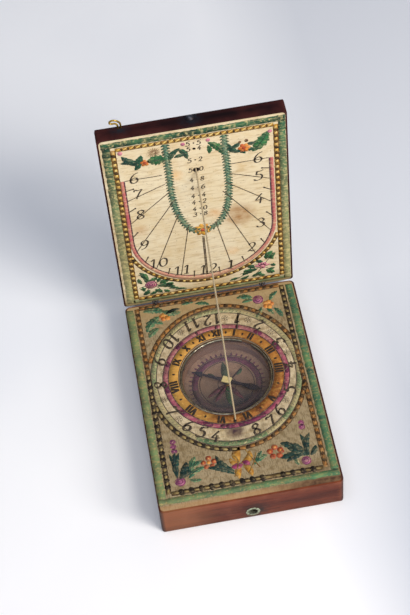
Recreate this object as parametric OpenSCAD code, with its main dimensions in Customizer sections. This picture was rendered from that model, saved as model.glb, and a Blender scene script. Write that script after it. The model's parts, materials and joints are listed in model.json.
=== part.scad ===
// Pocket diptych sundial: two wooden boards hinged on wire eyes, printed dials on the
// facing sides, a compass sunk in the base and a thread that casts the shadow.
// Origin: middle of the base's underside. +X right, +Y towards the hinge, +Z up.
// The lid is drawn standing open at 90 degrees, held by the thread.

/* [Boards] */
// Width of both boards
board_w = 60; // [56:0.5:70]
// Length of both boards, from the hinge to the free edge
board_l = 84; // [82:0.5:100]
// Thickness of the base's wood
base_t = 12.4; // [12:0.1:16]
// Thickness of the lid's wood
lid_t = 5.9; // [5.5:0.1:8]
// Radius of the base's upright corners
base_corner_r = 1.6; // [1:0.1:3]
// Radius of the base's worn lower edges
base_edge_r = 0.8; // [0.4:0.1:1.5]
// Radius of the lid's corners, seen from the front
lid_corner_r = 1; // [0.5:0.1:2]
// Radius of the worn edges round the lid's back
lid_edge_r = 1.5; // [0.5:0.1:2]

/* [Papers] */
// Thickness of each printed sheet
paper_t = 0.2; // [0.1:0.05:0.3]
// Wood left bare beside the sheets
paper_margin = 0.6; // [0.3:0.1:1.2]
// Wood left bare along the hinge
paper_hinge_margin = 0.5; // [0.4:0.1:1]

/* [Compass] */
// Distance of the compass centre from the hinge
compass_from_hinge = 35.5; // [33:0.5:37]
// Radius of the opening in the sheet and of the rebate for the glass
opening_r = 15.9; // [15:0.1:17]
// Radius of the well under the glass
well_r = 14.6; // [13.5:0.1:14.8]
// Depth of the compass card under the face of the sheet
card_depth = 5.3; // [5:0.1:6]
// Thickness of the glass
glass_t = 1; // [0.8:0.1:1.2]
// Wire thickness of the ring that holds the glass
ring_wire_d = 0.9; // [0.7:0.1:1]
// Gap between the ends of that ring, in degrees
ring_gap = 14; // [8:1:30]
// Length of the needle, tip to tip
needle_l = 25; // [22:0.5:26]
// Thickness of the needle
needle_t = 0.35; // [0.3:0.05:0.5]
// Direction of the needle, from +X
needle_turn = -28; // [-180:1:180]

/* [Hinge] */
// Distance of each hinge from the middle
hinge_x = 19; // [17:0.5:22]
// Thickness of the hinge wire
wire_d = 0.6; // [0.5:0.05:0.8]
// Room between the lid's wire and the inside of the base's eye
eye_play = 0.08; // [0.05:0.01:0.1]
// Depth of the legs in the wood, along the wire
leg_l = 6.5; // [5:0.1:7]

/* [Thread] */
// Latitude in degrees at which the thread stands
latitude = 50; // [46:1:54]
// Distance of the thread's foot from the hinge
foot_from_hinge = 53.8; // [53.5:0.1:54.5]
// Thickness of the thread
thread_d = 0.6; // [0.4:0.1:0.7]
// Radius of the holes for the thread
thread_hole_r = 0.55; // [0.45:0.05:0.6]
// Radius on which the thread bends at each hole
thread_bend_r = 1.3; // [1.2:0.1:1.4]
// Radius of the worn mouth of each hole
mouth_r = 1.15; // [1.1:0.05:1.3]
// Latitude of the spare hole in the lid
spare_latitude = 54; // [52:1:55]

/* [Fittings] */
// Inner radius of the catch socket
socket_r = 1.5; // [1.2:0.1:1.8]
// Outer radius of the catch socket's bush
bush_r = 2.3; // [2.1:0.1:2.6]
// Length of the bush
bush_l = 6; // [4:0.5:8]
// Height of the socket above the underside
socket_z = 3.7; // [3.6:0.1:4.5]
// Radius of the head of the lid's catch pin
pin_head_r = 1.25; // [1:0.05:1.5]
// Distance of the lid's wire eye from the middle
eye_x = 22; // [18:0.5:25]

/* [Hidden] */
$fn = 64;

// Room left round a piece that stands in a hole of its own body
seat = 0.02;
// Overshoot of a cutting shape
over = 1;
// Half of the gap between the two sheets when the dial is shut
shut_half_gap = 0.1;

// Hinge line
back_y = board_l / 2;
face_z = base_t + paper_t;
axis_z = face_z + shut_half_gap;
// Front of the lid's sheet and of its wood, and the lid's outer face
lid_face_y = back_y + shut_half_gap;
lid_wood_y = lid_face_y + paper_t;
lid_back_y = lid_wood_y + lid_t;
// Lower and upper ends of the lid
lid_z0 = axis_z + 0.15;
lid_z1 = axis_z + board_l;

// Compass, from the card up
compass_y = back_y - compass_from_hinge;
card_z = face_z - card_depth;
glass_z = card_z + 3.1;
ring_z = glass_z + glass_t + ring_wire_d / 2 + 0.01;
ring_r = opening_r - ring_wire_d / 2 - 0.05;
needle_z = card_z + 1.9;
point_z = needle_z + 0.45;

// Hinge wire: the eye's middle line, and the arms of the lid's U
wire_r = wire_d / 2;
eye_r = wire_r + eye_play + wire_r;
eye_out_r = eye_r + wire_r;
bend_r = 0.45;
bar_half = 0.4;
leg_x = bar_half + bend_r;
notch_r = eye_out_r + 0.12;
notch_half = leg_x + wire_r + 0.12;
// The legs are drawn down a little thinner than the wire, start inside it, and lie side by side
leg_r = wire_r - 0.02;
leg_side = wire_r + 0.01;
leg_lap_l = bend_r - 0.1;

// Thread: from the knot in the underside, through the base, free, and through the lid
thread_r = thread_d / 2;
foot_y = back_y - foot_from_hinge;
recess_z = 3.2;
recess_r = 2.4;
bend_low = 90 - latitude;
bend_high = latitude;
low_arc_z = face_z - thread_bend_r * sin(bend_low);
high_arc_y = lid_face_y - 0.1;
low_end = [0, foot_y + thread_bend_r * (1 - cos(bend_low)), face_z];
high_start_z = low_end[2] + (high_arc_y - low_end[1]) * tan(latitude);
lid_hole_z = high_start_z + thread_bend_r * (1 - cos(bend_high));
spare_hole_z = face_z + foot_from_hinge * tan(spare_latitude);
free_runs = 34;
arc_steps = 6;
function low_arc(i) = let (a = bend_low * i / arc_steps)
    [0, foot_y + thread_bend_r * (1 - cos(a)), low_arc_z + thread_bend_r * sin(a)];
function high_arc(i) = let (a = bend_high * (1 - i / arc_steps)) [
    0,
    high_arc_y + thread_bend_r * (sin(bend_high) - sin(a)),
    lid_hole_z - thread_bend_r * (1 - cos(a))
];
function between(a, b, t) = a + (b - a) * t;
thread_route = concat(
    [for (i = [0 : 4]) [0, foot_y, between(recess_z, low_arc_z, i / 5)]],
    [for (i = [0 : arc_steps]) low_arc(i)],
    [for (i = [1 : free_runs - 1]) between(low_arc(arc_steps), high_arc(0), i / free_runs)],
    [for (i = [0 : arc_steps]) high_arc(i)],
    [for (i = [1 : 3]) [0, between(high_arc(arc_steps)[1], lid_back_y, i / 3), lid_hole_z]]
);

// Lid fittings
pin_y = lid_face_y + 3.6;
eye_y = lid_back_y - 1.5;
eye_wire_r = 0.32;
eye_root = lid_z1 - 5;
// Route of the wire eye, seen from the front: up one leg, round the crook, down the other
eye_route = [
    [0.45, eye_root], [0.45, lid_z1 + 1.2], [0.38, lid_z1 + 1.8], [0.1, lid_z1 + 2.35],
    [-0.45, lid_z1 + 2.95], [-1.1, lid_z1 + 3.35], [-1.8, lid_z1 + 3.5], [-2.45, lid_z1 + 3.35],
    [-2.85, lid_z1 + 2.95], [-2.9, lid_z1 + 2.45], [-2.5, lid_z1 + 2.1], [-1.9, lid_z1 + 2.1],
    [-1.3, lid_z1 + 2.05], [-0.8, lid_z1 + 1.7], [-0.5, lid_z1 + 1.2], [-0.45, lid_z1 + 0.6],
    [-0.45, eye_root]
];

// Tube of radius r along points that all lie in one plane square to `side`
function unit(v) = v / norm(v);
function heading(p, i) = unit(p[min(i + 1, len(p) - 1)] - p[max(i - 1, 0)]);
module swept_tube(p, r, side, sides = 8) {
    rings = len(p);
    points = [
        for (i = [0 : rings - 1]) let (up = cross(side, heading(p, i)))
            for (k = [0 : sides - 1]) let (a = 360 * (k + 0.5) / sides)
                p[i] + r * (cos(a) * up + sin(a) * side)
    ];
    walls = [
        for (i = [0 : rings - 2]) for (k = [0 : sides - 1])
            let (a = i * sides + k, b = i * sides + (k + 1) % sides)
                each [[a, b, b + sides], [a, b + sides, a + sides]]
    ];
    first = [for (k = [sides - 1 : -1 : 0]) k];
    last = [for (k = [0 : sides - 1]) (rings - 1) * sides + k];
    polyhedron(points, concat([first], walls, [last]));
}

// Rod between two points
module rod(a, b, r) {
    v = b - a;
    translate(a)
        rotate([0, acos(v[2] / norm(v)), atan2(v[1], v[0])])
            cylinder(r = r, h = norm(v));
}

// Rectangle about the origin with rounded corners
module rounded_plan(w, l, r) {
    square([w - 2 * r, l], center = true);
    square([w, l - 2 * r], center = true);
    for (x = [-1, 1], y = [-1, 1])
        translate([x * (w / 2 - r), y * (l / 2 - r)]) circle(r);
}

// Rectangle from z = 0 up, with only its lower corners rounded
module rounded_foot(w, h, r) {
    translate([-w / 2, r]) square([w, h - r]);
    translate([-w / 2 + r, 0]) square([w - 2 * r, h]);
    for (x = [-1, 1]) translate([x * (w / 2 - r), r]) circle(r);
}

// Board lying on z = 0 with round upright corners and worn lower edges
module worn_board(l, t, corner, edge) {
    intersection() {
        linear_extrude(t) rounded_plan(board_w, l, corner);
        translate([0, l / 2 + over, 0]) rotate([90, 0, 0])
            linear_extrude(l + 2 * over) rounded_foot(board_w, t, edge);
        translate([-board_w / 2 - over, 0, 0]) rotate([90, 0, 90])
            linear_extrude(board_w + 2 * over) rounded_foot(l, t, edge);
    }
}

// Cylinder along X on the hinge line
module hinge_drum(x, r, half) {
    translate([x - half, back_y, axis_z]) rotate([0, 90, 0]) cylinder(r = r, h = 2 * half);
}

// Legs of the hinge wires, as [start, end] pairs
function legs_of_lid(x) = [
    for (s = [-1, 1]) [
        [x + s * leg_x, back_y + leg_lap_l * cos(45), axis_z + leg_lap_l * sin(45)],
        [x + s * leg_x, back_y + leg_l * cos(45), axis_z + leg_l * sin(45)]
    ]
];
eye_leg_start = sqrt(eye_r * eye_r - leg_side * leg_side);
function legs_of_base(x) = [
    for (s = [-1, 1]) [
        [x, back_y + (s * leg_side - eye_leg_start) * cos(45),
            axis_z - (s * leg_side + eye_leg_start) * sin(45)],
        [x, back_y + (s * leg_side - leg_l) * cos(45), axis_z - (s * leg_side + leg_l) * sin(45)]
    ]
];

// Worn mouth of a thread hole, at the origin, opening along +Z
module thread_mouth() {
    translate([0, 0, -1.2]) cylinder(r1 = thread_hole_r, r2 = mouth_r, h = 1.2);
    cylinder(r = mouth_r, h = over);
}

module base_block() {
    color("#6f3c2a") difference() {
        worn_board(board_l, base_t, base_corner_r, base_edge_r);
        // Rebate for glass and ring, and the well with the card's floor
        translate([0, compass_y, glass_z]) cylinder(r = opening_r, h = base_t, $fn = 128);
        translate([0, compass_y, card_z - paper_t]) cylinder(r = well_r, h = base_t, $fn = 128);
        translate([0, compass_y, card_z - paper_t - 2.5]) cylinder(r = 0.4 + seat, h = 5);
        // Thread hole with a recess for its knot
        translate([0, foot_y, -over]) cylinder(r = thread_hole_r, h = base_t + 2 * over);
        translate([0, foot_y, face_z]) thread_mouth();
        translate([0, foot_y, -over]) cylinder(r = recess_r, h = recess_z + over);
        // Socket in the front edge
        translate([0, -board_l / 2 - over, socket_z]) rotate([-90, 0, 0])
            cylinder(r = bush_r + seat, h = bush_l + over);
        for (x = [-hinge_x, hinge_x]) {
            hinge_drum(x, notch_r, wire_r + 0.12);
            hinge_drum(x, wire_r + 0.12, notch_half);
            for (leg = legs_of_base(x)) rod(leg[0], leg[1], leg_r + seat);
        }
    }
}

module base_dial_paper() {
    color("#cdb98e") difference() {
        translate([0, -(paper_hinge_margin - paper_margin) / 2, base_t]) linear_extrude(paper_t)
            rounded_plan(
                board_w - 2 * paper_margin, board_l - paper_margin - paper_hinge_margin, 1.2
            );
        translate([0, compass_y, 0]) cylinder(r = opening_r, h = 2 * base_t, $fn = 128);
        translate([0, foot_y, face_z]) thread_mouth();
        for (x = [-hinge_x, hinge_x]) hinge_drum(x, notch_r, notch_half);
    }
}

module compass_rose() {
    color("#8d7d63") translate([0, compass_y, card_z - paper_t]) difference() {
        cylinder(r = well_r - 0.1, h = paper_t, $fn = 128);
        translate([0, 0, -over]) cylinder(r = 0.4 + seat, h = 3 * over);
    }
}

// Turned pin: shank in the wood, collar on the card, and a point under the cap
module pivot_pin() {
    color("#b08d3e") translate([0, compass_y, 0]) rotate_extrude() polygon([
        [0, card_z - paper_t - 2.4], [0.4, card_z - paper_t - 2.4], [0.4, card_z],
        [0.9, card_z], [0.7, card_z + 0.35], [0.35, card_z + 0.5],
        [0.3, point_z - 0.9], [0, point_z]
    ]);
}

// Half widths of the needle at distances along it: a barbed arrow at one end, a broad leaf
// at the other
function blade_side(tip) = [
    [-tip, 0.03], [-0.92 * tip, 0.3], [-0.8 * tip, 0.85], [-0.73 * tip, 1.15],
    [-0.7 * tip, 0.38], [-0.42 * tip, 0.42], [0, 0.85], [0.42 * tip, 0.45],
    [0.55 * tip, 0.7], [0.66 * tip, 1.1], [0.74 * tip, 1.15], [0.84 * tip, 0.75],
    [0.94 * tip, 0.25], [tip, 0.03]
];

module needle_blade() {
    side = blade_side(needle_l / 2);
    color("#232c3a") translate([0, compass_y, needle_z]) rotate(needle_turn) difference() {
        union() {
            cylinder(r = 1.7, h = needle_t);
            linear_extrude(needle_t) polygon(concat(
                side, [for (i = [len(side) - 1 : -1 : 0]) [side[i][0], -side[i][1]]]
            ));
        }
        translate([0, 0, -over]) cylinder(r = 0.8 + seat, h = 3 * over);
    }
}

// Cap: a round boss through the blade and a square head with a cut across it
module needle_cap() {
    head = 3.1;
    head_h = 0.55;
    color("#c9b24e") translate([0, compass_y, needle_z]) rotate(needle_turn) difference() {
        union() {
            translate([0, 0, -0.3]) cylinder(r = 0.8, h = needle_t + 0.4);
            translate([-head / 2, -head / 2 * 0.75, needle_t]) cube([head, head * 0.75, head_h]);
        }
        // Bearing: a cone whose top stands just clear of the pin's point
        translate([0, 0, -0.31])
            cylinder(r1 = 0.6, r2 = 0.05, h = point_z - needle_z + 0.31 + 0.05);
        // Cut across the head
        translate([-0.15, -head, needle_t + head_h - 0.2]) cube([0.3, 2 * head, over]);
    }
}

module compass_glass() {
    color("#9aa6a055") translate([0, compass_y, glass_z]) rotate_extrude($fn = 128) polygon([
        [0, 0], [opening_r - 0.1, 0], [opening_r - 0.1, glass_t - 0.15],
        [opening_r - 0.25, glass_t], [0, glass_t]
    ]);
}

// Sprung wire ring, cut square at its ends, open towards the back right
module glass_retaining_ring() {
    color("#8f7f58") translate([0, compass_y, ring_z]) rotate(60)
        rotate_extrude(angle = 360 - ring_gap, $fn = 128)
            translate([ring_r, 0]) circle(ring_wire_d / 2, $fn = 24);
}

module catch_socket_bush() {
    color("#6d7b5a") translate([0, -board_l / 2 - 0.1, socket_z]) rotate([-90, 0, 0])
        difference() {
            cylinder(r = bush_r, h = bush_l);
            translate([0, 0, -over]) cylinder(r = socket_r, h = bush_l + 2 * over);
        }
}

// Eye round the hinge line: a ring, and two legs side by side in the base
module base_hinge_eye(x) {
    color("#2e2c2b") {
        translate([x, back_y, axis_z]) rotate([90, 0, 90])
            rotate_extrude() translate([eye_r, 0]) circle(wire_r, $fn = 24);
        for (leg = legs_of_base(x)) rod(leg[0], leg[1], leg_r);
    }
}
module base_hinge_eye_left() base_hinge_eye(-hinge_x);
module base_hinge_eye_right() base_hinge_eye(hinge_x);

// U through the eye: a bar on the hinge line, two bends and two legs in the lid
module lid_hinge_wire(x) {
    color("#2e2c2b") {
        translate([x - bar_half, back_y, axis_z]) rotate([0, 90, 0])
            cylinder(r = wire_r, h = 2 * bar_half);
        for (s = [0, 1]) translate([x, back_y, axis_z]) mirror([s, 0, 0]) rotate([45, 0, 0])
            translate([bar_half, bend_r, 0]) rotate([0, 0, -90])
                rotate_extrude(angle = 90) translate([bend_r, 0]) circle(wire_r);
        for (leg = legs_of_lid(x)) rod(leg[0], leg[1], leg_r);
    }
}
module lid_hinge_wire_left() lid_hinge_wire(-hinge_x);
module lid_hinge_wire_right() lid_hinge_wire(hinge_x);

module lid_board() {
    color("#3b2020") difference() {
        // The worn edges face away from the sheet
        translate([0, lid_wood_y, lid_z0]) rotate([90, 0, 0])
            translate([0, (lid_z1 - lid_z0) / 2, -lid_t])
                worn_board(lid_z1 - lid_z0, lid_t, lid_corner_r, lid_edge_r);
        translate([0, lid_back_y + over, lid_hole_z]) rotate([90, 0, 0])
            cylinder(r = thread_hole_r, h = lid_t + 2 * over);
        translate([0, lid_face_y, lid_hole_z]) rotate([90, 0, 0]) thread_mouth();
        translate([0, lid_back_y + over, spare_hole_z]) rotate([90, 0, 0])
            cylinder(r = thread_hole_r, h = lid_t + 2 * over);
        translate([0, pin_y, lid_z1 - 5]) cylinder(r = 0.9 + seat, h = 5 + over);
        for (s = [-1, 1]) translate([-eye_x + s * 0.45, eye_y, eye_root - seat])
            cylinder(r = eye_wire_r + seat, h = 5 + over);
        for (x = [-hinge_x, hinge_x]) {
            hinge_drum(x, notch_r, notch_half);
            for (leg = legs_of_lid(x)) rod(leg[0], leg[1], leg_r + seat);
        }
    }
}

module lid_dial_paper() {
    sheet_l = board_l - paper_margin - paper_hinge_margin;
    color("#eeddb6") difference() {
        translate([0, lid_wood_y, axis_z + paper_hinge_margin + sheet_l / 2]) rotate([90, 0, 0])
            linear_extrude(paper_t) rounded_plan(board_w - 2 * paper_margin, sheet_l, 1.2);
        translate([0, lid_face_y, lid_hole_z]) rotate([90, 0, 0]) thread_mouth();
        translate([0, lid_wood_y + over, spare_hole_z]) rotate([90, 0, 0])
            cylinder(r = thread_hole_r, h = 3 * over);
        for (x = [-hinge_x, hinge_x]) hinge_drum(x, notch_r, notch_half);
    }
}

// Iron pin with a low domed head, standing out of the lid's free edge
module lid_catch_pin() {
    head_h = 0.8;
    ball_r = (pin_head_r * pin_head_r + head_h * head_h) / (2 * head_h);
    color("#3a3a3e") translate([0, pin_y, lid_z1]) {
        translate([0, 0, -4.9]) cylinder(r = 0.9, h = 5.2);
        translate([0, 0, 0.3]) intersection() {
            cylinder(r = pin_head_r, h = head_h);
            translate([0, 0, head_h - ball_r]) sphere(ball_r);
        }
    }
}

// Bent wire: two legs in the wood and a crook that leans to the left
module lid_wire_eye() {
    color("#a58a3c") swept_tube(
        [for (q = eye_route) [-eye_x + q[0], eye_y, q[1]]], eye_wire_r, [0, -1, 0]
    );
}

module gnomon_string() {
    color("#ddd0b0") swept_tube(thread_route, thread_r, [1, 0, 0]);
}

// Stopper knot of three turns with a short tail, standing up from z = 0
module stopper_knot() {
    turn_r = 0.62;
    wrap_r = thread_r * 1.3;
    pitch = thread_d * 0.9;
    color("#d8c9a6") {
        cylinder(r = 0.75, h = wrap_r + 2 * pitch + thread_r, $fn = 32);
        for (i = [0 : 2]) translate([0, 0, wrap_r + 0.01 + i * pitch])
            rotate_extrude($fn = 32) translate([turn_r, 0]) circle(wrap_r, $fn = 20);
        translate([0, 0, 1.5]) rotate([35, 0, 20]) cylinder(r = thread_r, h = 1.6, $fn = 16);
    }
}
module string_knot_base() {
    translate([0, foot_y, recess_z]) mirror([0, 0, 1]) stopper_knot();
}
module string_knot_lid() {
    translate([0, lid_back_y, lid_hole_z]) rotate([-90, 0, 0]) stopper_knot();
}

base_block();
base_dial_paper();
compass_rose();
pivot_pin();
needle_blade();
needle_cap();
compass_glass();
glass_retaining_ring();
catch_socket_bush();
base_hinge_eye_left();
base_hinge_eye_right();
lid_board();
lid_dial_paper();
lid_hinge_wire_left();
lid_hinge_wire_right();
lid_catch_pin();
lid_wire_eye();
gnomon_string();
string_knot_base();
string_knot_lid();
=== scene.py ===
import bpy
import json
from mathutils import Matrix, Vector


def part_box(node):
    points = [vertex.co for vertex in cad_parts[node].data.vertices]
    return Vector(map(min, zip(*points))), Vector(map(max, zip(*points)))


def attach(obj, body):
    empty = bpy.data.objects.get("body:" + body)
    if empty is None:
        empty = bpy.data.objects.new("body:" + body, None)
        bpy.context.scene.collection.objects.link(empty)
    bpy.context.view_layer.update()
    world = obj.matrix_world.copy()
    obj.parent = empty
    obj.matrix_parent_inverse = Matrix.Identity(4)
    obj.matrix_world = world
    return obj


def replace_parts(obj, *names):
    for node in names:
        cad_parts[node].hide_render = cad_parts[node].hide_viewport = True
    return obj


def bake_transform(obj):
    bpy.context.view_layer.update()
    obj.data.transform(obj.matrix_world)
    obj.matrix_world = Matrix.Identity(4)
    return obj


bl_info = {
    "name": "Pocket diptych sundial",
    "version": (1, 0, 0),
    "blender": (4, 5, 0),
    "location": "View3D > Sidebar > Sundial",
    "description": "Prints, colours, thread and finishes of a folding pocket sundial",
    "category": "Object",
}

import json
import math
from functools import partial

import bpy
import numpy as np
from mathutils import Matrix, Vector

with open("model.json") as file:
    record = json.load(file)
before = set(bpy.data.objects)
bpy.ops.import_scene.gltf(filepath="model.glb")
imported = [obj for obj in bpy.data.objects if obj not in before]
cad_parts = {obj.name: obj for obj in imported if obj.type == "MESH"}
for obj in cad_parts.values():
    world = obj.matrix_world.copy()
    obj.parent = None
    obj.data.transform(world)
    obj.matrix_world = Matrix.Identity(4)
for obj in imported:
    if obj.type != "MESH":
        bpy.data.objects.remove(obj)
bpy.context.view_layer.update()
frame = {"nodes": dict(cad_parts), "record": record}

# All shapes are worked out in millimetres and turned into metres when a mesh is made.
MM = 0.001


def corner_mm(node, corner):
    """The lowest (0) or highest (1) corner of a CAD node, in millimetres."""
    return np.array(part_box(node)[corner]) / MM


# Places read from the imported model
HINGE_Y = corner_mm("base_block", 1)[1]
AXIS_Z = frame["record"]["behaviour"]["joints"][0]["pos_m"][2] / MM
BASE_FACE_Z = corner_mm("base_dial_paper", 1)[2]
LID_FACE_Y = corner_mm("lid_dial_paper", 0)[1]
LID_BACK_Y, LID_TOP_Z = corner_mm("lid_board", 1)[1:]
CARD_Z = corner_mm("compass_rose", 1)[2]

# Measures known from the source of the model: the well's middle, the thread's foot, its
# slope and bends, and the depth of the recess for its lower knot
COMPASS_Y = 6.5
FOOT_Y = HINGE_Y - 53.8
LATITUDE = math.radians(50)
THREAD_BEND_R = 1.3
KNOT_RECESS = 3.2

# The base's prints: the middle and the radii of the rings, and the root of the hour lines
# and the slope that they are drawn with
RING = np.array([0.0, -35.5])
HOUR_RING, CRIMSON_R, ORANGE_R = (24.5, 27.45), 20.5, 17.85
SUN_ROOT = np.array([0.0, -53.8])
SUN_SLOPE = 0.7

# The lid's prints: the root of the hour lines and the middle of the U's bow
LID_ROOT = np.array([0.1, 64.3])
BOW = np.array([0.25, 34.0])

# Coats, from the sheet up
WASH, GROUND, LINKS, LIGHTS, INK = 0.006, 0.013, 0.024, 0.034, 0.046

# The spots of a noise of scale 1 are about this wide, in metres.
SPOT = 0.6


def hexa(text):
    """An sRGB hex colour as linear red, green, blue and alpha."""
    srgb = np.array([int(text[i:i + 2], 16) for i in (1, 3, 5)]) / 255
    linear = np.where(srgb <= 0.04045, srgb / 12.92, ((srgb + 0.055) / 1.055) ** 2.4)
    return (*linear, 1.0)


def colour(name, description, text):
    """A colour property with its default given in sRGB hex."""
    return bpy.props.FloatVectorProperty(
        name=name, description=description, subtype="COLOR", size=4, min=0, max=1,
        default=hexa(text))


def length(name, description, millimetres):
    """A length property with its default given in millimetres."""
    return bpy.props.FloatProperty(
        name=name, description=description, default=millimetres * MM, min=0,
        unit="LENGTH", precision=5)


class SundialSizes(bpy.types.PropertyGroup):
    """Sizes of the thread and of the printed and painted ornament"""
    thread: length("Thread", "Thickness of the two-ply thread", 0.6)
    thread_lay: length("Thread lay", "Length of one turn of the thread's plies", 1.6)
    ink_line: length("Fine line", "Width of a fine engraved line", 0.3)
    rope_pitch: length("Rope pitch", "Spacing of the links in the rope borders", 2.6)
    rope_width: length("Rope width", "Width of the rope borders", 1.7)
    lid_figures: length("Lid figures", "Height of the hour figures on the lid", 4.4)
    base_figures: length("Base figures", "Height of the hour figures on the base", 4.2)
    roman_figures: length("Roman figures", "Height of the figures by the compass", 2.4)
    latitude_figures: length("Latitude figures", "Height of the latitude figures", 1.9)


class SundialColours(bpy.types.PropertyGroup):
    """Colours of the woods, papers, pigments and metals"""
    lid_paper: colour("Lid paper", "Yellowed laid paper of the lid", "#DCC898")
    base_paper: colour("Base paper", "Browner paper of the base", "#D0B680")
    base_wood: colour("Base wood", "Rubbed reddish wood of the base", "#6E3422")
    lid_wood: colour("Lid wood", "Nearly black wood of the lid", "#241012")
    ink: colour("Ink", "Brown-black printing ink", "#33281C")
    green: colour("Green", "Copper green wash", "#3C6E48")
    leaf: colour("Leaf", "Dark green of the leaves", "#1C5238")
    ochre: colour("Ochre", "Golden ochre of the ropes", "#B48426")
    pink: colour("Pink", "Pink lake of the lid's band", "#C47C6A")
    plum: colour("Plum", "Dark plum of the band's inner line", "#4E2440")
    orange: colour("Orange", "Orange of the compass ring", "#9A602A")
    vermilion: colour("Vermilion", "Red of the small flowers", "#C0512A")
    brass: colour("Brass", "Yellow brass", "#C9A545")
    iron: colour("Iron", "Dark drawn iron wire", "#4A4644")
    thread: colour("Thread", "Greyed linen thread", "#B5A27E")


def colours():
    """The colours that the panel's settings hold."""
    return bpy.context.scene.sundial_colours


def sizes():
    """The sizes that the panel's settings hold."""
    return bpy.context.scene.sundial_sizes


def on_lid(u, v, h):
    """Lid face: u to the right, v up from the hinge, h out of the sheet."""
    return np.stack([u, LID_FACE_Y - h, AXIS_Z + v], -1)


def on_base(u, v, h):
    """Base face: u to the right, v from the hinge, negative to the front, h up."""
    return np.stack([u, HINGE_Y + v, BASE_FACE_Z + h], -1)


def on_card(u, v, h):
    """Compass card: u and v from its middle, h up."""
    return np.stack([u, COMPASS_Y + v, CARD_Z + h], -1)


# The body and the slot of the prints on each face
RIDES = {on_lid: ("lid", "lid_paper"), on_base: ("base", "base_paper"),
         on_card: ("base", "rose_paper")}


def left_of(ways):
    """Ways turned a quarter to the left."""
    return np.stack([-ways[..., 1], ways[..., 0]], -1)


def facing(degrees):
    """Unit ways at angles anticlockwise from +u."""
    return np.stack([np.cos(np.radians(degrees)), np.sin(np.radians(degrees))], -1)


def new_piece(name, points, face_sets, body, slot, material, **attributes):
    """A piece from points in millimetres and arrays of faces, at the origin, on a body."""
    counts = np.concatenate([np.full(len(f), f.shape[1]) for f in face_sets])
    corners = np.concatenate([f.ravel() for f in face_sets])
    mesh = bpy.data.meshes.new(name)
    mesh.vertices.add(len(points))
    mesh.vertices.foreach_set("co", (points * MM).astype(np.float32).ravel())
    mesh.loops.add(len(corners))
    mesh.loops.foreach_set("vertex_index", corners.astype(np.int32))
    mesh.polygons.add(len(counts))
    mesh.polygons.foreach_set("loop_start", (np.cumsum(counts) - counts).astype(np.int32))
    mesh.update(calc_edges=True)
    for key, values in attributes.items():
        mesh.attributes.new(key, "FLOAT", "POINT").data.foreach_set(
            "value", np.asarray(values, np.float32))
    mesh.materials.append(material)
    piece = bpy.data.objects.new(name, mesh)
    bpy.context.scene.collection.objects.link(piece)
    if body:
        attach(piece, body)
    return piece


class Ribbons:
    """Pen and brush strokes on one face, collected and then made into one mesh.

    Every stroke is a line of stations with a half width at each. It becomes a closed
    prism: its top is the line plus and minus the half width along the normal, a little
    above the sheet, and its bottom is the same outline just inside the sheet. Strokes
    that are added together lie at nine heights in turn, so that neighbours that cross
    don't share a plane."""
    SUNK, THINNEST = -0.012, 0.012
    STEP, HEIGHTS = 0.0008, 9

    def __init__(self, place):
        self.place = place
        self.vertices, self.faces, self.across, self.count = [], [], [], 0

    def add(self, line, half, height, closed=False):
        """Adds strokes: line is (strokes, stations, 2) in millimetres, half broadcasts."""
        line = np.asarray(line, float)
        line = line[None] if line.ndim == 2 else line
        strokes, stations = line.shape[:2]
        half = np.maximum(np.broadcast_to(half, (strokes, stations)), self.THINNEST)
        step = np.roll(line, -1, 1) - np.roll(line, 1, 1) if closed else np.gradient(line, axis=1)
        step /= np.maximum(np.linalg.norm(step, axis=-1, keepdims=True), 1e-9)
        side = left_of(step) * half[..., None]
        rise = self.STEP * (np.arange(strokes) % self.HEIGHTS)[:, None]
        top = height + rise + np.zeros((1, stations))
        low = np.full_like(top, self.SUNK)
        corners = [(line + side, top), (line - side, top), (line - side, low), (line + side, low)]
        points = np.stack([self.place(c[..., 0], c[..., 1], h) for c, h in corners], 2)
        spans = np.arange(stations if closed else stations - 1)[None, :, None]
        start = self.count + 4 * stations * np.arange(strokes)[:, None, None]
        here, there = start + 4 * spans, start + 4 * ((spans + 1) % stations)
        k = np.arange(4)[None, None, :]
        turn = (k + 1) % 4
        walls = np.stack([here + k, here + turn, there + turn, there + k], -1)
        self.faces.append(walls.reshape(-1, 4))
        if not closed:
            self.faces.append(start[:, 0, :] + np.array([3, 2, 1, 0]))
            self.faces.append(start[:, 0, :] + 4 * (stations - 1) + np.arange(4))
        self.vertices.append(points.reshape(-1, 3))
        self.across.append(np.tile([1.0, -1.0, -1.0, 1.0], strokes * stations))
        self.count += points.size // 3

    def piece(self, name, material):
        """Makes the collected strokes one piece that rides on the body of its face."""
        return new_piece(name, np.concatenate(self.vertices), [np.concatenate(self.faces)],
                         *RIDES[self.place], material, across=np.concatenate(self.across))


def paint(place, name, material, *sets):
    """Makes one piece of sets of strokes on a face; a set holds what Ribbons.add takes."""
    ribbons = Ribbons(place)
    for one in sets:
        ribbons.add(*one)
    ribbons.piece(name, material)


def smooth(points, stations=20):
    """A Catmull-Rom curve through the points, read at evenly spaced stations."""
    p = np.asarray(points, float)
    p = np.vstack([2 * p[0] - p[1], p, 2 * p[-1] - p[-2]])
    t = np.linspace(0, len(p) - 3, stations)
    i = np.minimum(t.astype(int), len(p) - 4)
    f = (t - i)[:, None]
    a, b, c, d = p[i], p[i + 1], p[i + 2], p[i + 3]
    bend = (2 * a - 5 * b + 4 * c - d) * f ** 2 + (3 * b - a - 3 * c + d) * f ** 3
    return 0.5 * (2 * b + (c - a) * f + bend)


def arc(centre, radii, start, end, stations):
    """An arc of an oval, between two angles in degrees, anticlockwise from +u."""
    return np.asarray(centre) + radii * facing(np.linspace(start, end, stations))


def oval(centre, radii, stations):
    """A whole oval, for a closed stroke; radii are two, or one for a circle."""
    return arc(centre, radii, 0, 360 * (1 - 1 / stations), stations)


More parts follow.
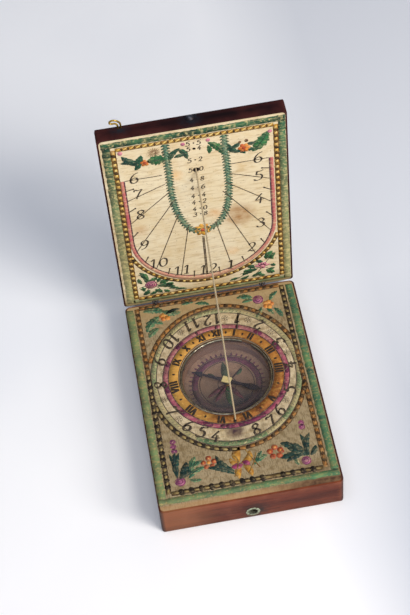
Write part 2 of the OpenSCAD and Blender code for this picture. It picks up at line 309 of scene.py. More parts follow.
def wobble(stations, seed, size, waves=9):
    """A hand's unsteadiness: a sum of seeded sine waves along a stroke."""
    draw = np.random.default_rng(seed)
    t = np.linspace(0, 1, stations)[:, None]
    rate = draw.uniform(1, waves * 4, waves)
    phase = draw.uniform(0, 2 * np.pi, waves)
    return size * np.sin(2 * np.pi * rate * t + phase).sum(1) / math.sqrt(waves)


def run_along(path):
    """The distance run from the start to each point of a path."""
    return np.concatenate([[0], np.cumsum(np.linalg.norm(np.diff(path, axis=0), axis=1))])


def reached(path, distance):
    """The places on a path at distances from its start."""
    run = run_along(path)
    return np.stack([np.interp(distance, run, axis) for axis in path.T], -1)


def walk(path, distance, apart=0.1):
    """Points and directions at distances along a path of many points."""
    way = reached(path, distance + apart) - reached(path, distance - apart)
    return reached(path, distance), way / np.maximum(np.linalg.norm(way, axis=-1, keepdims=True), 1e-9)


def turned(vectors, degrees):
    """Vectors turned anticlockwise."""
    c, s = math.cos(math.radians(degrees)), math.sin(math.radians(degrees))
    return c * vectors + s * left_of(vectors)


def spindles(middles, ways, lengths, halves, stations=9, power=0.5):
    """Short strokes about given middles: half width is (1 - t squared) to a power."""
    t = np.linspace(-1, 1, stations)
    reach = np.broadcast_to(lengths, len(middles))[:, None, None] / 2
    line = np.asarray(middles)[:, None, :] + np.asarray(ways)[:, None, :] * reach * t[:, None]
    return line, np.broadcast_to(halves, len(middles))[:, None] * (1 - t ** 2) ** power


def leaves(rows, stations=24, teeth=0, depth=0.0):
    """Brush leaves from base to tip: width is sin(pi t) ^ 0.75, cut by saw teeth.

    A row holds the base, the tip, the half width and the sideways bend as a share."""
    rows = np.asarray(rows, float)
    base, way = rows[:, 0:2], rows[:, 2:4] - rows[:, 0:2]
    t = np.linspace(0, 1, stations)
    arch = np.sin(np.pi * t)
    line = (base[:, None] + way[:, None] * t[:, None]
            + left_of(way)[:, None] * (rows[:, 5, None, None] * arch[:, None]))
    saw = 1 - depth * ((t * teeth) % 1)
    return line, rows[:, 4, None] * arch ** 0.75 * saw


def veins(rows, half=0.12):
    """The midribs of a set of leaves: the same strokes, all with one thin half width."""
    rows = np.array(rows, float)
    rows[:, 4] = half
    return *leaves(rows), LINKS


def discs(rows):
    """Round dabs of paint: a short stroke whose half width follows a circle."""
    rows = np.asarray(rows, float)
    return spindles(rows[:, :2], np.tile([1.0, 0.0], (len(rows), 1)), rows[:, 2] * 2, rows[:, 2], 11)


def petals(centre, count, inner, outer, half, turn=0):
    """A rosette of petals round a centre, between two radii."""
    way = facing(turn + 360 * np.arange(count) / count)
    return spindles(np.asarray(centre) + way * (inner + outer) / 2, way, outer - inner, half)


def brushed(start, end, half, seed, stations=110, strays=0.05, swells=0.1):
    """A straight brush stroke: it strays to either side, and is fuller and thinner by turns."""
    start, end = np.array(start, float), np.array(end, float)
    way = (end - start) / np.linalg.norm(end - start)
    line = np.linspace(start, end, stations) + left_of(way) * wobble(stations, seed, strays)[:, None]
    return line, half + wobble(stations, seed + 50, swells), WASH


def meets_ring(root, way, centre, radius):
    """Where a line from a root inside a ring, along a unit way, leaves the ring."""
    gap = root - centre
    b = gap @ way
    return root + way * (-b + math.sqrt(b * b - gap @ gap + radius ** 2))


# Pen strokes of each figure in a box one unit high; a stroke is drawn through its points.
FIGURES = {
    "0": [[(.3, 1), (.06, .82), (.02, .5), (.08, .16), (.3, 0), (.52, .18), (.58, .5),
           (.52, .84), (.3, 1)]],
    "1": [[(.06, .8), (.28, 1), (.28, .5), (.28, 0)], [(.08, 0), (.46, 0)]],
    "2": [[(.05, .76), (.16, .97), (.42, .99), (.52, .76), (.4, .48), (.2, .24), (.02, .02)],
          [(.02, .04), (.22, .1), (.4, .0), (.6, .1)]],
    "3": [[(.06, .88), (.3, 1), (.5, .8), (.4, .6), (.2, .54)],
          [(.2, .54), (.5, .45), (.56, .2), (.36, 0), (.1, .02), (.02, .16)]],
    "4": [[(.42, 1), (.2, .64), (.0, .32)], [(.0, .32), (.3, .33), (.62, .36)],
          [(.4, .6), (.4, .3), (.38, -.06)]],
    "5": [[(.12, .95), (.34, .93), (.58, 1.04)], [(.13, .95), (.11, .75), (.1, .56)],
          [(.1, .56), (.35, .62), (.55, .44), (.53, .16), (.3, 0), (.06, .02), (.0, .14)]],
    "6": [[(.56, 1.06), (.3, .94), (.1, .66), (.03, .34), (.12, .08), (.32, 0), (.53, .14),
           (.56, .38), (.38, .57), (.15, .48), (.05, .34)]],
    "7": [[(.0, .8), (.08, .98), (.3, .9), (.6, .98)], [(.6, .98), (.42, .62), (.3, .3), (.24, 0)]],
    "8": [[(.3, 1), (.08, .85), (.14, .62), (.42, .42), (.55, .2), (.32, 0), (.06, .15),
           (.12, .42), (.42, .64), (.52, .86), (.3, 1)]],
    "9": [[(.52, .6), (.34, .44), (.1, .5), (.03, .76), (.2, .97), (.42, .97), (.56, .74),
           (.5, .4), (.34, .1), (.05, -.04)]],
    "I": [[(.14, 1), (.14, 0)], [(0, 1), (.28, 1)], [(0, 0), (.28, 0)]],
    "V": [[(.02, 1), (.3, 0)], [(.58, 1), (.3, 0)], [(-.08, 1), (.16, 1)], [(.46, 1), (.68, 1)]],
    "X": [[(.02, 1), (.6, 0)], [(.58, 1), (.02, 0)], [(-.08, 1), (.14, 1)], [(.46, 0), (.7, 0)]],
}
# How far each figure moves the pen on, with the gap that follows it, and the nib's angle
ADVANCE = {"I": 0.42, "V": 0.74, "X": 0.76}
FIGURE_ADVANCE, GAP = 0.74, 0.12
NIB = math.radians(15)


def write(ribbons, text, centre, height, turn=0, thick=0.13, thin=0.045, slant=0.12):
    """Writes figures about a centre with a broad nib: wide where the stroke runs down.

    The half width goes from thin to thick with the sine of the angle to the nib."""
    pens = []
    start = 0.0
    for figure in text:
        pens += [smooth(points, 18) + [start, 0] for points in FIGURES[figure]]
        start += ADVANCE.get(figure, FIGURE_ADVANCE)
    line = np.array(pens)
    line[..., 0] += slant * line[..., 1] - (start - GAP) / 2 - slant / 2
    line[..., 1] -= 0.5
    step = np.gradient(line, axis=1)
    angle = np.arctan2(step[..., 1], step[..., 0])
    half = (thin + (thick - thin) * np.abs(np.sin(angle - NIB)) ** 1.5) * height / 2
    ribbons.add(turned(line * height, turn) + centre, half, INK)


def straight(start, end):
    """A straight path of many points."""
    return np.linspace(start, end, 60)


def rope(inks, path, width, pitch, link, light, tilt=28, edge=0.11, swell=0.09):
    """A twisted rope border along a path: a ground, dark links, light lozenges and edges.

    Link is the links' width as a share of the pitch, light the lozenges' two measures. The
    edges come in by the swell's share with the cosine of the run, once in each pitch."""
    ground, links, lights = inks
    total = run_along(path)[-1]
    count = max(1, round(total / pitch))
    even = total / count
    ground.add(path, width / 2, GROUND)
    at, way = walk(path, (np.arange(count) + 0.5) * even)
    lights.add(*spindles(at, turned(way, -tilt), light[0], light[1] / 2, 7, 0.8), LIGHTS)
    at, way = walk(path, np.arange(1, count) * even)
    links.add(*spindles(at, turned(way, tilt * 1.6), width * 1.25, pitch * link / 2, 7), LINKS)
    at, way = walk(path, np.linspace(0, total, max(2, int(total / 0.8))))
    off = (width / 2 - edge) * (1 - swell * np.cos(2 * np.pi * np.linspace(0, total, len(at)) / even))
    for side in (-1, 1):
        links.add(at + left_of(way) * (side * off)[:, None], edge, LINKS)


def add_node(tree, kind, *inputs, output=0, **settings):
    """Adds a shader node with its settings and links, and gives one of its outputs.

    Inputs come in the node's order, or by name in one dictionary; each of them is a
    value, an sRGB hex colour or the output of another node."""
    node = tree.nodes.new("ShaderNode" + kind)
    for key, value in settings.items():
        setattr(node, key, value)
    named = inputs and isinstance(inputs[0], dict)
    for key, value in inputs[0].items() if named else enumerate(inputs):
        if isinstance(value, bpy.types.NodeSocket):
            tree.links.new(value, node.inputs[key])
        else:
            node.inputs[key].default_value = hexa(value) if isinstance(value, str) else value
    return node.outputs[output] if node.outputs else node


def start_material(name, *patterns):
    """An empty material, what adds a node to it, the object coordinates in metres, and its
    noise patterns. A pattern is the size of its spots in millimetres, its detail and, if
    it is drawn out, its scale along each axis."""
    material = bpy.data.materials.new(name)
    material.use_nodes = True
    material.node_tree.nodes.clear()
    add = partial(add_node, material.node_tree)
    place = add("TexCoord", output="Object")
    noises = []
    for spot_mm, detail, *scale in patterns:
        where = add("Mapping", {"Vector": place, "Scale": scale}) if scale else place
        noises.append(add("TexNoise", {"Vector": where, "Scale": SPOT / (spot_mm * MM),
                                       "Detail": detail}))
    return material, add, place, *noises


def end_material(add, tone, roughness, height=None, relief_mm=0.02, **principled):
    """Joins the colour, roughness and bump to one Principled surface."""
    inputs = {"Base Color": tone, "Roughness": roughness}
    inputs.update({key.replace("_", " "): value for key, value in principled.items()})
    if height is not None:
        inputs["Normal"] = add("Bump", {"Height": height, "Distance": relief_mm * MM,
                                        "Strength": 1.0})
    add("OutputMaterial", {"Surface": add("BsdfPrincipled", inputs)})


def together(add, *ramps):
    """The product of several ramps. A ramp is a pattern, the values of it where the ramp
    begins and is full, and the least and the most that it gives, if not 0 and 1."""
    product, *others = [add("MapRange", *ramp) for ramp in ramps]
    for other in others:
        product = add("Math", product, other, operation="MULTIPLY")
    return product


def tinted(add, tone, *layers):
    """Lays tints over a tone in turn; a layer is a tint and the ramp that it comes in by."""
    for tint, *ramp in layers:
        tone = add("MixRGB", add("MapRange", *ramp), tone, tint)
    return tone


def stained(add, place, tone, tint, centre_mm, radius_mm, softness, *ramp):
    """Lays a round stain over a tone: full inside, falling to none at its radius, and
    broken up by a ramp."""
    centre = tuple(np.array(centre_mm, float) * MM)
    away = add("VectorMath", {0: place, 1: centre}, operation="DISTANCE", output="Value")
    reach = radius_mm * MM
    return add("MixRGB", together(add, (away, reach, reach * (1 - softness)), ramp), tone, tint)


def from_edges(add, place, node):
    """How far a place is from the edges of a node's box: the least sum of two insets."""
    low, high = corner_mm(node, 0), corner_mm(node, 1)
    from_middle = add("VectorMath", place, tuple((low + high) / 2 * MM), operation="SUBTRACT")
    off = add("VectorMath", from_middle, operation="ABSOLUTE")
    inset = add("VectorMath", tuple((high - low) / 2 * MM), off, operation="SUBTRACT")
    x, y, z = add("SeparateXYZ", inset).node.outputs
    sums = [add("Math", *pair, operation="ADD") for pair in ((x, y), (y, z), (x, z))]
    return add("Math", add("Math", *sums[:2], operation="MINIMUM"), sums[2], operation="MINIMUM")


# Old board wood: fine-grained fruitwood, stained, handled for two centuries. The grain
# runs across the boards, so it shows as streaks on the hinge and free edges.
def old_wood(name, node, stain, rubbed_hex, dark_hex, rubbed, gloss, patch_mm):
    material, add, place, grain, figure, pores, wear, patch = start_material(
        name, (0.7, 4, 0.09, 1, 1), (5.0, 3, 0.14, 1, 1), (0.22, 2, 0.12, 1, 1), (6.0, 5),
        (patch_mm, 4))
    edge = together(add, (from_edges(add, place, node), 2.6 * MM, 0.78 * MM), (wear, 0.3, 0.6, 0, 0.7))
    tone = tinted(add, stain, (dark_hex, figure, 0.38, 0.66), (dark_hex, grain, 0.5, 0.72, 0, 0.75),
                  (rubbed_hex, wear, 0.5, 0.74, 0, rubbed), (rubbed_hex, edge, 0, 1),
                  (dark_hex, pores, 0.6, 0.7, 0, 0.45))
    rough = add("MapRange", wear, 0.3, 0.7, gloss + 0.16, gloss)
    height = add("Math", add("Math", grain, 0.7, operation="MULTIPLY"), pores, operation="ADD")
    return material, add, place, tone, rough, height, patch


def base_wood():
    """Reddish-brown wood of the base: paler to the left, darker low on its sides and at its
    side edges, grimy about the bush, and bare and lighter in the compass well."""
    material, add, place, tone, rough, height, grime = old_wood(
        "stained_fruitwood_base", "base_block", colours().base_wood, "#8A4A2E", "#3A1812", 0.4, 0.42, 1.2)
    x, _, z = add("SeparateXYZ", place).node.outputs
    side = add("Math", x, operation="ABSOLUTE")
    tone = tinted(add, tone, ("#9A6240", x, -9 * MM, -22 * MM, 0, 0.55),
                  ("#2C1714", z, 3.5 * MM, 0, 0, 0.55), ("#2E1A18", side, 28.6 * MM, 29.7 * MM, 0, 0.85))
    tone = stained(add, place, tone, "#2B201C", (0.9, -HINGE_Y, 4.4), 5.4, 0.6,
                   grime, 0.36, 0.6, 0.2, 0.95)
    tone = stained(add, place, tone, "#94745A", (0, COMPASS_Y, 9.4), 17.0, 0.05, z, 4 * MM, 4.5 * MM)
    end_material(add, tone, rough, height, 0.05, Specular_IOR_Level=0.15)
    return material


def lid_wood():
    """Nearly black wood of the lid, with iron stains about the pin and the wire eye."""
    material, add, place, tone, rough, height, patch = old_wood(
        "stained_fruitwood_lid", "lid_board", colours().lid_wood, "#4A2320", "#120A0D", 0.45, 0.62, 0.9)
    for x, y, radius in ((0, 45.7, 4.6), (-22, 46.5, 4.2)):
        tone = stained(add, place, tone, "#20242C", (x, y, LID_TOP_Z), radius, 0.8, patch, 0.3, 0.62)
    end_material(add, tone, rough, height, 0.05, Specular_IOR_Level=0.08)
    return material


# Laid rag paper glued to the boards: yellowed, foxed in soft brown spots, hatched by the
# wires of the mould, and rubbed brown towards its sides.
def old_paper(name, sheet, brown_hex, face, stains, *patterns):
    material, add, place, cloud, mottle, fibre, speck, streak, *more = start_material(
        name, (9.0, 4), (1.6, 4), (0.3, 3), (0.35, 2), (0.45, 2, 0.14, 1, 1), *patterns)
    tone = tinted(add, add("MixRGB", 0.2, sheet, "#FFFFFF"),
                  (brown_hex, cloud, 0.36, 0.64, 0, 0.32), (brown_hex, mottle, 0.48, 0.7, 0, 0.28),
                  ("#A98A5C", streak, 0.5, 0.68, 0, 0.4), ("#6E5430", speck, 0.66, 0.72, 0, 0.55))
    for u, v, radius, tint, amount in stains:
        tone = stained(add, place, tone, tint, face(u, v, 0), radius, 0.85,
                       mottle, 0.3, 0.6, 0.45 * amount, amount)
    side = add("Math", add("SeparateXYZ", place, output="X"), operation="ABSOLUTE")
    edge = together(add, (side, 27.5 * MM, 29.6 * MM, 0, 0.5), (mottle, 0.35, 0.6, 0.2, 1))
    tone = add("MixRGB", edge, tone, "#8F7444")
    height = add("Math", fibre, add("Math", streak, 0.6, operation="MULTIPLY"), operation="ADD")
    return material, add, place, tone, height, *more


def lid_paper():
    """The lid's sheet, cream, with foxing by the 11 and 1 lines and a brown blot, and painted
    shade that darkens its foot by the hinge.
    """
    stains = ((12.6, 39.2, 6.6, "#9C6A34", 1.0), (4.7, 42, 3.2, "#D39A5E", 0.6),
              (-20.3, 39.2, 3.4, "#B98A56", 0.6), (-7, 63, 3.4, "#E0AE6A", 0.7),
              (-12.7, 75.2, 2.6, "#8F6234", 0.5), (9.6, 21, 3.0, "#E2B277", 0.5),
              (1.5, 5, 9.0, "#C39B5C", 0.4), (0, 83.5, 26, "#D9B98C", 0.3),
              (15, 63, 5, "#C9A468", 0.4), (0, 55, 3.2, "#9A8568", 0.5))
    material, add, place, tone, height = old_paper(
        "foxed_rag_paper_lid", colours().lid_paper, "#C9A96C", on_lid, stains)
    # Painted shade: the sheet darkens towards its foot, by the hinge.
    up = add("SeparateXYZ", place, output="Z")
    tone = tinted(add, tone, ("#7A6A40", up, (AXIS_Z + 7) * MM, (AXIS_Z + 1.5) * MM, 0, 0.85))
    end_material(add, tone, 0.78, height, 0.02, Specular_IOR_Level=0.25)
    return material


def base_paper():
    """The base's sheet: browner, more so outside the rings, soiled and finely hatched, with
    a dark stain by the thread's foot, a worn front edge and a brown smear on its right."""
    stains = ((-0.9, -58.1, 3.4, "#6B4A48", 0.8), (21, -83.5, 12, "#4E2F26", 1.0),
              (-3, -57.5, 7, "#B49A66", 0.4), (23, -14, 6, "#8E7852", 0.5),
              (3, -54, 3, "#5B4350", 0.6), (8, -3, 7, "#94805A", 0.5),
              (-8, -3, 8, "#A08A5F", 0.45), (18, -60, 5, "#A79878", 0.4))
    material, add, place, tone, height, weave, soil = old_paper(
        "rubbed_rag_paper_base", colours().base_paper, "#86714A", on_base, stains,
        (0.19, 3, 1, 0.2, 1), (1.1, 6))
    from_ring = add("VectorMath", place, tuple(on_base(*RING, 0) * MM), operation="SUBTRACT")
    outward = add("VectorMath", from_ring, (1 / (24.2 * MM), 1 / (27.2 * MM), 0), operation="MULTIPLY")
    outward = add("VectorMath", outward, operation="LENGTH", output="Value")
    outside = add("MapRange", outward, 0.97, 1.08)
    streaks = together(add, (outside, 0, 1, 0.3, 0.5), (weave, 0.5, 0.62))
    x, along, _ = add("SeparateXYZ", place).node.outputs
    back, rim, front = [(HINGE_Y + v) * MM for v in (-1, -81, -82)]
    smear = together(add, (x, 3 * MM, 20 * MM), (along, rim, front), (soil, 0.35, 0.6, 0.6, 0.95))
    tone = tinted(add, tone, ("#75613F", outside, 0, 1, 0.1, 0.62), ("#5A4A30", streaks, 0, 1),
                  ("#6A5636", soil, 0.48, 0.68, 0, 0.62),
                  ("#B4895C", along, rim - 0.2 * MM, front - 0.2 * MM, 0, 0.6),
                  ("#452C21", smear, 0, 1))
    tone = stained(add, place, tone, "#3E2A33", on_base(-0.9, -58, 0), 4.2, 0.9,
                   soil, 0.35, 0.6, 0.6, 1)
    tone = tinted(add, tone, ("#B39668", along, back - 13 * MM, back, 0, 0.8))
    end_material(add, tone, 0.8, height, 0.03, Specular_IOR_Level=0.25)
    return material


# Hand-laid watercolour: uneven where the brush was fuller, thin or worn through to the
# paper in flecks, and pooled darker along the edges of each stroke. It can fade along an
# axis, from one place in millimetres to another, by an amount.
def watercolour(name, pigment, deep_hex, paper_tone, worn=0.5, patch_mm=2.2, fade=None):
    material, add, place, pool, fleck, streak = start_material(
        name, (patch_mm, 4), (0.5, 3), (0.6, 3, 0.25, 1, 1))
    across = add("Attribute", attribute_name="across", output="Fac")
    tone = tinted(add, pigment, (deep_hex, pool, 0.35, 0.68),
                  (deep_hex, add("Math", across, operation="ABSOLUTE"), 0.55, 1, 0, 0.35))
    bare = add("Math", add("MapRange", fleck, 0.52, 0.7, 0, worn),
               add("MapRange", streak, 0.5, 0.72, 0, worn * 0.7), operation="ADD")
    if fade:
        axis, full_mm, faded_mm, amount = fade
        faded = add("MapRange", add("SeparateXYZ", place, output=axis), full_mm * MM, faded_mm * MM,
                    0, amount)
        bare = add("Math", bare, faded, operation="ADD")
    tone = add("MixRGB", add("Math", bare, 0.92, operation="MINIMUM"), tone, paper_tone)
    end_material(add, tone, 0.74, fleck, 0.01, Specular_IOR_Level=0.3)
    return material


# Copperplate ink: brown-black, broken where the plate printed thinly or the sheet is worn.
def ink(name, black, paper_tone, worn):
    material, add, _, broken, patchy = start_material(name, (0.55, 4), (3.5, 3))
    bare = together(add, (broken, 0.5, 0.7), (patchy, 0.3, 0.65, 0.25 * worn, worn))
    end_material(add, add("MixRGB", bare, black, paper_tone), 0.7)
    return material


# Cast or drawn brass left to tarnish: brown film in the hollows, bright where rubbed.
def brass(name, bright, film_hex, film, rough=0.34, metal=1.0):
    material, add, _, patch, scratch = start_material(name, (0.8, 4), (0.12, 2, 1, 0.15, 1))
    tone = tinted(add, bright, (film_hex, patch, 0.4, 0.66, 0, film))
    end_material(add, tone, add("MapRange", patch, 0.35, 0.7, rough, rough + 0.25), scratch, 0.01,
                 Metallic=add("MapRange", patch, 0.45, 0.75, metal, 0.55 * metal))
    return material


# Hand-drawn iron wire: blackened by rust and hands, with brown bloom in patches; above a
# given height it is lighter, a painted highlight, and smoother.
def iron(name, dark, bright_above=None):
    material, add, place, rust = start_material(name, (0.45, 4))
    tone = tinted(add, dark, ("#5C4034", rust, 0.5, 0.7, 0, 0.75))
    rough = [(rust, 0.3, 0.7, 0.34, 0.7)]
    # Painted highlight: lighter above the given height.
    if bright_above is not None:
        up = add("SeparateXYZ", place, output="Z")
        ramp = (up, bright_above * MM, (bright_above + 0.5) * MM)
        tone = tinted(add, tone, ("#6C707A", *ramp, 0, 0.7))
        rough.append((*ramp, 1, 0.6))
    end_material(add, tone, together(add, *rough), rust, 0.02, Metallic=0.85)
    return material


# Needle: hardened steel let down to a dark blue, a little lighter in patches.
def blued_steel():
    material, add, _, patch = start_material("blued_steel", (1.2, 3))
    tone = tinted(add, "#080D1A", ("#141D33", patch, 0.35, 0.68))
    end_material(add, tone, add("MapRange", patch, 0.3, 0.7, 0.35, 0.55), patch, 0.005, Metallic=0.5)
    return material


# Bush: brass bled with pale green verdigris where it meets the wood, and painted shade, near black, in its
# hole.
def verdigris():
    material, add, place, crust = start_material("verdigris_brass", (0.4, 5))
    from_axis = add("VectorMath", place, (0, 0, 3.7 * MM), operation="SUBTRACT")
    flat = add("VectorMath", from_axis, (1, 0, 1), operation="MULTIPLY")
    away = add("VectorMath", flat, operation="LENGTH", output="Value")
    # Painted shade: near black inside the hole.
    tone = tinted(add, "#66583A", ("#A3B096", crust, 0.35, 0.62), ("#1E1713", away, 1.6 * MM, 1.45 * MM))
    end_material(add, tone, 0.62, crust, 0.05, Metallic=add("MapRange", crust, 0.35, 0.6, 0.6, 0.1))
    return material


# Compass card: rag paper kept under glass, with painted light and shade: brown at the back
# and blue-grey towards the front, where the well's front wall shades it.
def compass_card():
    material, add, place, patch, speck = start_material("browned_card", (2.6, 5), (0.5, 3))
    y = add("SeparateXYZ", place, output="Y")
    # Painted light and shade: lighter brown at the back, blue-grey at the front.
    tone = tinted(add, "#B89A80", ("#323842", y, (COMPASS_Y + 9) * MM, (COMPASS_Y - 8) * MM),
                  ("#5E544C", patch, 0.4, 0.68, 0, 0.5), ("#57493F", speck, 0.55, 0.7, 0, 0.4))
    end_material(add, tone, 0.8, speck, 0.01, Specular_IOR_Level=0.2)
    return material


# Window glass under two centuries of dust: nearly clear, greyed by a thin film of dust and a
# painted reflection that grows towards the hinge. Only the faces that look outwards reflect.
def dusty_glass():
    material, add, place, film, wipe = start_material(
        "dusty_crown_glass", (3.5, 4), (0.8, 3, 0.35, 1, 1))
    clear = add("BsdfTransparent", {"Color": "#F8F5F2"})
    shine = add("BsdfGlossy", {"Color": "#A8A8B0", "Roughness": 0.06})
    outside = add("Math", 1.0, add("NewGeometry", output="Backfacing"), operation="SUBTRACT")
    bend = add("Math", add("Fresnel", {"IOR": 1.5}), outside, operation="MULTIPLY")
    y = add("SeparateXYZ", place, output="Y")
    amount = add("MapRange", film, 0.3, 0.7, 0.01, 0.05)
    # Painted reflection: the grey film grows towards the hinge.
    for ramp in ((y, 2 * MM, 21 * MM, 0, 0.12), (wipe, 0.45, 0.7, 0, 0.02)):
        amount = add("Math", amount, add("MapRange", *ramp), operation="ADD")
    pane = add("MixShader", {0: bend, 1: clear, 2: shine})
    dust = add("BsdfDiffuse", {"Color": "#85808E"})
    add("OutputMaterial", {"Surface": add("MixShader", {0: amount, 1: pane, 2: dust})})
    return material


# Linen thread: two greyed plies, matt, with painted shade darkening the grooves between them.
def linen():
    material, add, place, fuzz, soil = start_material("twisted_linen_thread", (0.12, 2), (5.0, 3))
    groove = add("Attribute", attribute_name="groove", output="Fac")
    up = add("SeparateXYZ", place, output="Z")
    # Painted shade: the grooves between the plies are darker.
    tone = tinted(add, colours().thread, ("#A48F6C", soil, 0.4, 0.7, 0, 0.5),
                  ("#8A7A5E", up, 20 * MM, 50 * MM, 0, 0.4), ("#6E5C42", groove, 0.35, 1, 0, 0.65))
    end_material(add, tone, 0.85, fuzz, 0.02, Sheen_Weight=0.3)
    return material


def pale_floor():
    """Pale grey paper sweep: whitest in front and to the left, and bluer and greyer to the right,
    a painted falloff of the light; with painted shade in the narrow strip behind the base,
    over which the open lid stands."""
    material, add, place, cloud = start_material("pale_floor", (60, 2))
    x, y, _ = add("SeparateXYZ", place).node.outputs
    off = add("Math", x, operation="ABSOLUTE")
    # Painted falloff of the light: greyer and bluer to the right, most in front.
    right = together(add, (x, 20 * MM, 60 * MM), (y, -60 * MM, 50 * MM, 1.1, 0.5))
    # Painted shade: a dark strip on the floor behind the base, under the open lid.
    behind = together(add, (y, 41 * MM, 45 * MM), (y, 60 * MM, 53 * MM), (off, 29.5 * MM, 26 * MM, 0, 0.75))
    tone = tinted(add, "#FEFEFF", ("#FFFDFE", y, 30 * MM, -120 * MM), ("#BABFCA", right, 0, 1),
                  ("#DDE0E8", cloud, 0.45, 0.7, 0, 0.25), ("#3E4048", behind, 0, 1))
    end_material(add, tone, 0.9, Specular_IOR_Level=0.2)
    return material


def dress(node, material):
    """Gives a CAD node its material."""
    slots = frame["nodes"][node].material_slots
    for one in slots:
        one.material = material
    if not slots:
        frame["nodes"][node].data.materials.append(material)


class SUNDIAL_OT_stage(bpy.types.Operator):
    """Camera, floor and soft light from the right, as in a studio"""
    bl_idname = "sundial.stage"
    bl_label = "Stage"

    LENS, SENSOR, NEAREST = 92.9, 36, 0.01
    PLACE = (-0.0282, -0.2999, 0.4510)
    RIGHT = (0.9847, -0.1616, -0.0659)
    UP = (0.1681, 0.7774, 0.6061)
    BACK = (-0.0467, -0.6079, 0.7927)
    # Each lamp's name, place, diameter, power in watts and tint; all look at one place
    LAMPS = (("key", (0.30, -0.42, 0.54), 0.26, 2.35, "#FFFAF3"),
             ("low", (0.58, -0.45, 0.38), 0.3, 3.7, "#FFFAF3"),
             ("front", (-0.06, -0.55, 0.62), 0.5, 0.75, "#FFFDFA"),
             ("top", (-0.12, -0.06, 0.85), 0.6, 1.6, "#F2F6FF"))
    LIT = (0, 0, 0.03)
    SKY, SKY_TINT = 0.3, "#DCE5F8"
    FLOOR = 2000.0 * np.array([(-1, -1, 0), (1, -1, 0), (1, 1, 0), (-1, 1, 0)])

    def execute(self, context):
        scene = context.scene
        scene.view_settings.view_transform = "Standard"
        view = bpy.data.cameras.new("camera")
        view.lens, view.sensor_width, view.clip_start = self.LENS, self.SENSOR, self.NEAREST
        scene.camera = bpy.data.objects.new("camera", view)
        scene.collection.objects.link(scene.camera)
        turn = Matrix((self.RIGHT, self.UP, self.BACK)).transposed()
        scene.camera.matrix_world = Matrix.Translation(self.PLACE) @ turn.to_4x4()
        floor = new_piece("floor", self.FLOOR, [np.arange(4)[None]], None, None, pale_floor())
        for name, place, size, power, tint in self.LAMPS:
            lamp = bpy.data.lights.new(name, "AREA")
            lamp.shape, lamp.size, lamp.energy = "DISK", size, power
            lamp.color = hexa(tint)[:3]
            light = bpy.data.objects.new(name, lamp)
            scene.collection.objects.link(light)
            light.location = place
            light.rotation_mode = "QUATERNION"
            light.rotation_quaternion = (Vector(self.LIT) - Vector(place)).to_track_quat("-Z", "Y")
        scene.world = bpy.data.worlds.new("studio")
        scene.world.use_nodes = True
        sky = scene.world.node_tree.nodes["Background"]
        sky.inputs["Color"].default_value = hexa(self.SKY_TINT)
        sky.inputs["Strength"].default_value = self.SKY
        return {"FINISHED"}


def tube(path, radius, side, rounds, lay):
    """A closed tube of two twisted plies: a circle in the plane of a side vector and its
    normal, carried along the path. The radius dips where the plies meet, by the square of
    the groove 1 - |cos(angle - 2 pi run / lay)|."""
    ahead = np.gradient(path, axis=0)
    ahead /= np.linalg.norm(ahead, axis=1, keepdims=True)
    normal = np.cross(np.broadcast_to(side, path.shape), ahead)
    normal /= np.linalg.norm(normal, axis=1, keepdims=True)
    other = np.cross(ahead, normal)
    angle = np.linspace(0, 2 * np.pi, rounds, endpoint=False)[None]
    groove = 1 - np.abs(np.cos(angle - 2 * np.pi * run_along(path)[:, None] / lay))
    reach = radius * (1 - 0.3 * groove ** 2)
    shape = (path[:, None] + normal[:, None] * (reach * np.cos(angle))[..., None]
             + other[:, None] * (reach * np.sin(angle))[..., None])
    n = len(path)
    i, k = np.arange(n - 1)[:, None] * rounds, np.arange(rounds)[None]
    turn = (k + 1) % rounds
    walls = np.stack([i + k, i + turn, i + rounds + turn, i + rounds + k], -1).reshape(-1, 4)
    first = np.stack([np.full_like(k, n * rounds), turn, k], -1)[0]
    last = np.stack([np.full_like(k, n * rounds + 1), (n - 1) * rounds + k,
                     (n - 1) * rounds + turn], -1)[0]
    points = np.concatenate([shape.reshape(-1, 3), path[:1], path[-1:]])
    return points, [walls, np.concatenate([first, last])], np.append(groove.ravel(), [0, 0])


def thread_route():
    """Up out of the base, round a small bend, straight at the latitude, and through the lid."""
    low, r = math.radians(90) - LATITUDE, THREAD_BEND_R
    in_bend, on_slope, before_lid = 7, 12, 0.1
    turn = np.linspace(0, low, in_bend)
    first = np.stack([0 * turn, FOOT_Y + r * (1 - np.cos(turn)),
                      BASE_FACE_Z + r * (np.sin(turn) - math.sin(low))], -1)
    reach = LID_FACE_Y - before_lid - first[-1, 1]
    meet = first[-1] + [0, reach, reach * math.tan(LATITUDE)]
    turn = LATITUDE - np.linspace(0, LATITUDE, in_bend)
    high = np.stack([0 * turn, meet[1] + r * (math.sin(LATITUDE) - np.sin(turn)),
                     meet[2] + r * (np.cos(turn) - math.cos(LATITUDE))], -1)
    free = np.linspace(first[-1], high[0], on_slope)[1:-1]
    return np.concatenate([[[0, FOOT_Y, KNOT_RECESS]], first, free, high,
                           [[0, LID_BACK_Y, high[-1, 2]]]])


